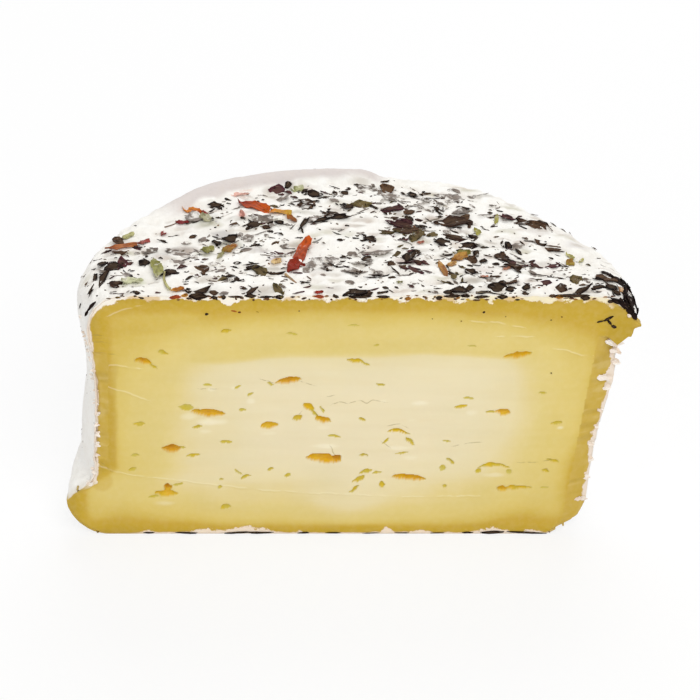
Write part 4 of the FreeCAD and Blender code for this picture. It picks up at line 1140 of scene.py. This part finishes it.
stains = [
    (-34.5, 32.2, 9.0, 7.0, "#ABA892", 0.85), (-39.0, 18.0, 9.0, 5.4, "#A79C94", 0.8),
    (-30.0, 26.0, 7.0, 5.0, "#C8C4C0", 0.7), (-28.0, 20.6, 8.0, 4.6, "#A6A48C", 0.75),
    (-33.0, 15.4, 6.0, 4.0, "#A8A48E", 0.7), (-21.0, 18.0, 6.0, 3.0, "#B8B0AC", 0.6),
    (-43.0, 15.0, 6.0, 4.0, "#C4BEB8", 0.6), (26.2, 38.6, 5.0, 3.6, "#AFA8A2", 0.7),
    (24.4, 46.8, 5.4, 4.4, "#B5A8A2", 0.7), (9.4, 46.4, 5.0, 5.4, "#B8A8A2", 0.7),
    (37.8, 22.8, 4.2, 3.4, "#D4C8C2", 0.8), (-7.0, 9.0, 6.6, 5.0, "#A8A59E", 0.6),
    (6.0, 16.6, 8.0, 2.6, "#C0BDB4", 0.7), (-17.0, 13.6, 4.4, 3.4, "#C8B8BC", 0.7),
    (12.8, 12.6, 7.0, 5.0, "#C0AAA4", 0.6), (22.0, 48.0, 4.6, 4.0, "#C0B4B0", 0.7),
    (14.6, 47.6, 5.0, 3.4, "#C4BEBA", 0.6), (-26.5, 48.4, 7.0, 2.6, "#F2D8CC", 0.8),
    (-25.6, 34.6, 2.6, 4.6, "#EBC8C0", 0.8), (33.0, 16.0, 6.0, 4.0, "#C4B0AA", 0.5),
    (44.0, 31.0, 7.0, 4.0, "#D0C6C0", 0.6), (-49.0, 2.0, 8.0, 3.4, "#DADCC0", 0.7),
    (-4.6, 43.4, 4.0, 3.0, "#D0C8C4", 0.6), (52.0, 26.0, 7.0, 5.0, "#EAE6E2", 0.7),
    (-12.0, 36.6, 9.0, 3.0, "#CFCBC0", 0.7), (29.0, 9.0, 7.0, 4.0, "#D6C8C0", 0.5),
    (24.8, 28.0, 8.0, 3.0, "#C4B8B0", 0.6),
]
for _ in range(190):
    x = staining.uniform(-60.0, 62.0)
    y = staining.uniform(CUT, 58.0)
    size = staining.uniform(1.6, 5.0)
    shade = staining.choice(("#B0A598", "#C4BAAC", "#BCAC9E", "#B8B294", "#C8B7A8", "#A89F90", "#D8CDBE"))
    stains.append((x, y, size * 1.4, size * staining.uniform(0.5, 0.9), shade, staining.uniform(0.25, 0.65)))
# the mould is greyer round the leaves
for x, y, length, width, turn, tone in main_leaves:
    shade = staining.choice(("#B4A698", "#A89A8A", "#BCAE9C", "#A89E88"))
    stains.append((x + staining.uniform(-0.6, 0.6), y + staining.uniform(-0.8, 0.4),
                   1.15 * length + 1.2, width + 1.0, shade, staining.uniform(0.1, 0.3)))
high = np.nonzero((spots[:, 2] > 48.0) & (sideways < 0.6) & (on_curb < 0.3))[0]
wander = [lumps(spots[high], 1.8, 33), lumps(spots[high], 1.8, 34), np.zeros(len(high))]
ground = spots[high] + 0.7 * np.stack(wander, axis=1)
for x, y, long, wide, shade, strength in stains:
    away = np.hypot((ground[:, 0] - x) / (0.5 * long), (ground[:, 1] - y) / (0.5 * wide))
    share = 1.25 * strength * (1.0 - blend(away, 0.35, 1.15))
    share *= 0.55 + 0.45 * blend(-relief[high], -0.3, 0.3)
    tint[high] = mixed(tint[high], shade, share)
store(rind.data, "tint", tint)
smooth(rind)


# --- Finishes ------------------------------------------------------------------------------------
def new_look(name, roughness):
    look = bpy.data.materials.new(name)
    look.use_nodes = True
    tree = look.node_tree
    body = tree.nodes["Principled BSDF"]
    body.inputs["Roughness"].default_value = roughness
    return look, tree, body


def node(tree, kind, links=(), **values):
    """Adds a node. Values set its properties or its inputs, links join (input, output) pairs."""
    made = tree.nodes.new(kind)
    for name, value in values.items():
        if hasattr(made, name):
            setattr(made, name, value)
        else:
            made.inputs[name.replace("_", " ")].default_value = value
    for socket, source in links:
        tree.links.new(made.inputs[socket], source)
    return made


def noise(tree, place, scale, detail, roughness):
    grain = node(tree, "ShaderNodeTexNoise", [("Vector", place)], Scale=scale, Detail=detail,
                 Roughness=roughness)
    return grain.outputs["Fac"]


def object_noise(tree, scale, detail=3.0, roughness=0.55, stretch=(1.0, 1.0, 1.0)):
    """Noise whose lumps are 1/scale metres across, on Object coordinates."""
    place = node(tree, "ShaderNodeTexCoord")
    turned = node(tree, "ShaderNodeMapping", [("Vector", place.outputs["Object"])], Scale=stretch)
    return noise(tree, turned.outputs["Vector"], scale, detail, roughness)


def spread(tree, source, low, high, to_low=0.0, to_high=1.0):
    """Spreads the part of a value between low and high over a new range."""
    span = node(tree, "ShaderNodeMapRange", [("Value", source)], From_Min=low, From_Max=high,
                To_Min=to_low, To_Max=to_high)
    return span.outputs["Result"]


def colour_mix(tree, share, first, second):
    mix = tree.nodes.new("ShaderNodeMix")
    mix.data_type = "RGBA"
    sockets = [socket for socket in mix.inputs if socket.enabled]
    for socket, value in zip(sockets, (share, first, second)):
        if isinstance(value, bpy.types.NodeSocket):
            tree.links.new(socket, value)
        elif isinstance(value, float):
            socket.default_value = value
        else:
            socket.default_value = (*linear(value), 1.0)
    return [socket for socket in mix.outputs if socket.enabled][0]


def coat(tree, body, tint, specular):
    """Gives a surface its colour and how strongly it mirrors."""
    tree.links.new(body.inputs["Base Color"], tint)
    body.inputs["Specular IOR Level"].default_value = specular


def seen_directly(tree):
    """1 where the camera or a glossy surface looks, 0 for light that only falls on things."""
    path = node(tree, "ShaderNodeLightPath")
    rays = [(0, path.outputs["Is Camera Ray"]), (1, path.outputs["Is Glossy Ray"])]
    return node(tree, "ShaderNodeMath", rays, operation="MAXIMUM").outputs[0]


def relief_on(tree, body, height, strength, distance):
    relief = node(tree, "ShaderNodeBump", [("Height", height)], Strength=strength, Distance=distance)
    tree.links.new(body.inputs["Normal"], relief.outputs["Normal"])


def attribute(tree, name, output="Fac"):
    return node(tree, "ShaderNodeAttribute", attribute_name=name).outputs[output]


def sum_of(tree, operation, first, second):
    made = node(tree, "ShaderNodeMath", operation=operation)
    for socket, value in zip(made.inputs, (first, second)):
        if isinstance(value, bpy.types.NodeSocket):
            tree.links.new(socket, value)
        else:
            socket.default_value = value
    return made.outputs[0]


def paste_look():
    look, tree, body = new_look("buttery_paste", 0.5)
    grain = object_noise(tree, 700.0, 2.0)
    drag = object_noise(tree, 420.0, 2.0, 0.5, (0.10, 1.0, 1.0))
    ragged = object_noise(tree, 620.0, 4.0, 0.62)
    wide = object_noise(tree, 240.0, 2.0)
    tint = attribute(tree, "tint", "Color")
    tint = colour_mix(tree, spread(tree, grain, 0.4, 0.75, 0.0, 0.06), tint, "#F3E8C8")
    tint = colour_mix(tree, spread(tree, drag, 0.45, 0.72, 0.0, 0.07), tint, "#CDAE50")
    # the knife's fine ridges get a painted highlight with a painted shadow just under them, and the cracks a
    # painted shadow
    broken = sum_of(tree, "MULTIPLY", spread(tree, wide, 0.36, 0.5, 0.0, 1.0), attribute(tree, "mark_near"))
    mark = sum_of(tree, "ABSOLUTE", attribute(tree, "mark_gap"), 0.0)
    ridge_and_highlight = sum_of(tree, "MULTIPLY", spread(tree, mark, 0.03, 0.28, 0.28, 0.0), broken)
    tint = colour_mix(tree, ridge_and_highlight, tint, "#F8F0D0")
    # painted shadow just under each knife ridge
    below = sum_of(tree, "ABSOLUTE", sum_of(tree, "ADD", attribute(tree, "mark_gap"), 0.38), 0.0)
    under = sum_of(tree, "MULTIPLY", spread(tree, below, 0.0, 0.3, 0.10, 0.0), broken)
    tint = colour_mix(tree, under, tint, "#B8983E")
    crack = sum_of(tree, "ABSOLUTE", attribute(tree, "crack_gap"), 0.0)
    shown = spread(tree, ragged, 0.36, 0.54, 0.0, 1.0)
    shown = sum_of(tree, "MULTIPLY", shown, attribute(tree, "crack_near"))
    painted_crack_shadow = sum_of(tree, "MULTIPLY", spread(tree, crack, 0.03, 0.18, 0.55, 0.0), shown)
    tint = colour_mix(tree, painted_crack_shadow, tint, "#9A8442")
    # the cut edge of the crust: mould that thins out raggedly over the first millimetre
    edge = attribute(tree, "from_rind")
    scallop = sum_of(tree, "ADD", spread(tree, ragged, 0.3, 0.7, 0.35, 1.25),
                     spread(tree, wide, 0.35, 0.65, 0.0, 0.45))
    reach = sum_of(tree, "MULTIPLY", attribute(tree, "crust_width"), scallop)
    over = sum_of(tree, "SUBTRACT", edge, reach)
    rusty = spread(tree, over, 0.05, 0.7, 0.5, 0.0)
    tint = colour_mix(tree, rusty, tint, "#BC9A44")
    crust = spread(tree, over, -0.2, 0.16, 1.0, 0.0)
    tint = colour_mix(tree, crust, tint, attribute(tree, "crust_tint", "Color"))
    coat(tree, body, tint, 0.2)
    body.inputs["Subsurface Weight"].default_value = 0.08
    body.inputs["Subsurface Radius"].default_value = (1.0, 0.72, 0.36)
    body.inputs["Subsurface Scale"].default_value = 0.0014
    tree.links.new(body.inputs["Roughness"], spread(tree, drag, 0.3, 0.7, 0.44, 0.62))
    height = sum_of(tree, "ADD", sum_of(tree, "MULTIPLY", grain, 0.5), sum_of(tree, "MULTIPLY", drag, 0.6))
    height = sum_of(tree, "ADD", height, sum_of(tree, "MULTIPLY", crust, 0.8))
    height = sum_of(tree, "ADD", height, sum_of(tree, "MULTIPLY", ridge_and_highlight, 0.5))
    relief_on(tree, body, height, 0.30, 0.0002)
    return look


def rind_look():
    look, tree, body = new_look("white_mould", 0.95)
    fluff = object_noise(tree, 900.0, 4.0, 0.68)
    threads = object_noise(tree, 300.0, 3.0, 0.6)
    tint = attribute(tree, "tint", "Color")
    tint = colour_mix(tree, spread(tree, threads, 0.45, 0.75, 0.0, 0.20), tint, "#E9DFD2")
    tint = colour_mix(tree, spread(tree, fluff, 0.50, 0.78, 0.0, 0.16), tint, "#D8C9B8")
    coat(tree, body, tint, 0.2)
    body.inputs["Sheen Weight"].default_value = 0.12
    relief_on(tree, body, sum_of(tree, "ADD", fluff, threads), 0.55, 0.0004)
    return look


def grain_noise(tree, scale, detail=3.0):
    """Streaks that run along each leaf."""
    return noise(tree, attribute(tree, "grain_at", "Vector"), scale, detail, 0.6)


def leaf_look(name, bare, veil_most, dark=0.7, light="#65523F"):
    """A dry leaf with dark and light streaks, and a bloom of mould where the noise is above bare."""
    look, tree, body = new_look(name, 0.75)
    streaks = grain_noise(tree, 1.3)
    veins = grain_noise(tree, 2.6, 2.0)
    bloom = object_noise(tree, 430.0, 4.0, 0.65)
    tint = attribute(tree, "tint", "Color")
    tint = colour_mix(tree, spread(tree, streaks, 0.50, 0.60, 0.0, dark), tint, "#100908")
    heart = sum_of(tree, "ADD", attribute(tree, "heart"), spread(tree, streaks, 0.35, 0.65, 0.35, -0.35))
    tint = colour_mix(tree, spread(tree, heart, 0.30, 0.70, 0.0, 0.38), tint, light)
    tint = colour_mix(tree, spread(tree, veins, 0.62, 0.72, 0.0, 0.42), tint, "#947E6A")
    tint = colour_mix(tree, spread(tree, bloom, bare, bare + 0.12, 0.0, veil_most), tint, "#F6F2EB")
    coat(tree, body, tint, 0.05)
    relief_on(tree, body, veins, 0.7, 0.0003)
    return look


def petal_look(name, dark_shade, bare):
    look, tree, body = new_look(name, 0.6)
    streaks = grain_noise(tree, 1.4)
    bloom = object_noise(tree, 380.0, 4.0, 0.65)
    tint = attribute(tree, "tint", "Color")
    tint = colour_mix(tree, spread(tree, streaks, 0.45, 0.60, 0.0, 0.6), tint, dark_shade)
    tint = colour_mix(tree, spread(tree, bloom, bare, bare + 0.15, 0.0, 0.7), tint, "#F5EFE6")
    coat(tree, body, tint, 0.2)
    relief_on(tree, body, streaks, 0.6, 0.0003)
    return look


def tuft_look():
    look, tree, body = new_look("torn_rind", 0.95)
    fluff = object_noise(tree, 800.0, 3.0, 0.65)
    tint = attribute(tree, "tint", "Color")
    tint = colour_mix(tree, spread(tree, fluff, 0.45, 0.75, 0.0, 0.5), tint, "#E2D4C4")
    tree.links.new(body.inputs["Base Color"], tint)
    relief_on(tree, body, fluff, 0.6, 0.0004)
    return look


own(paste, paste_look(), True)
own(rind, rind_look(), True)
own(dark.gather("dark_leaves"), leaf_look("dark_leaf", 0.63, 0.8))
own(veiled.gather("veiled_leaves"), leaf_look("veiled_leaf", 0.50, 0.9, 0.45))
own(specks.gather("herb_crumbs"), leaf_look("herb_crumb", 0.62, 0.6))
own(crust.gather("shoulder_crust"), leaf_look("black_crust", 0.66, 0.6, 0.7, "#2E201C"))
own(cut_flakes.gather("cut_leaves"), leaf_look("cut_leaf", 0.66, 0.7))
own(paste_crumbs.gather("paste_crumbs"), leaf_look("dragged_crumb", 0.72, 0.3))
own(green.gather("green_leaves"), petal_look("green_leaf", "#66623A", 0.56))
own(petal.gather("petals"), petal_look("dry_petal", "#6E2A12", 0.62))
own(stem.gather("stems"), petal_look("dry_stem", "#7A6A50", 0.60))
own(tufts.gather("rind_tufts"), tuft_look())
bpy.data.objects.remove(solid)

# --- Floor, light and camera -----------------------------------------------------------------------
form = bmesh.new()
bmesh.ops.create_grid(form, x_segments=1, y_segments=1, size=4.0)
floor = from_bmesh("floor", form)
floor.data.materials.append(bpy.data.materials.new("pale_floor"))
look = floor.data.materials[0]
look.use_nodes = True
tree = look.node_tree
tree.nodes["Principled BSDF"].inputs["Base Color"].default_value = (0.95, 0.95, 0.95, 1.0)
tree.nodes["Principled BSDF"].inputs["Roughness"].default_value = 0.9
glow = node(tree, "ShaderNodeEmission", Color=(1.0, 1.0, 1.0, 1.0), Strength=1.0)
part = sum_of(tree, "MULTIPLY", seen_directly(tree), 0.75)
both = node(tree, "ShaderNodeMixShader", [(0, part), (1, tree.nodes["Principled BSDF"].outputs[0]),
                                          (2, glow.outputs[0])])
tree.links.new(tree.nodes["Material Output"].inputs["Surface"], both.outputs[0])

world = bpy.data.worlds.new("studio")
scene.world = world
world.use_nodes = True
tree = world.node_tree
level = spread(tree, seen_directly(tree), 0.0, 1.0, 0.55, 1.0)
tree.nodes["Background"].inputs["Color"].default_value = (1.0, 1.0, 1.0, 1.0)
tree.links.new(tree.nodes["Background"].inputs["Strength"], level)


def soft_light(name, place, size, power):
    """A round soft lamp that looks at the middle of the cheese."""
    light = bpy.data.lights.new(name, "AREA")
    light.shape = "DISK"
    light.size = size
    light.energy = power
    lamp = bpy.data.objects.new(name, light)
    scene.collection.objects.link(lamp)
    lamp.location = place
    lamp.rotation_mode = "QUATERNION"
    lamp.rotation_quaternion = (Vector((0.0, 0.0, 0.03)) - Vector(place)).to_track_quat("-Z", "Y")


soft_light("key", (0.35, -0.75, 0.95), 0.8, 5.9)
soft_light("fill", (-0.9, -0.9, 0.5), 0.9, 2.35)
soft_light("back", (0.1, 0.9, 0.9), 0.8, 4.6)

lens = bpy.data.cameras.new("camera")
lens.sensor_width = 36.0
lens.lens = 121.75
lens.clip_start = 0.01
camera = bpy.data.objects.new("camera", lens)
scene.collection.objects.link(camera)
camera.location = (-0.0002, -0.4566, 0.3218)
camera.rotation_euler = (math.radians(90.0 - 31.0), 0.0, 0.0)
scene.camera = camera
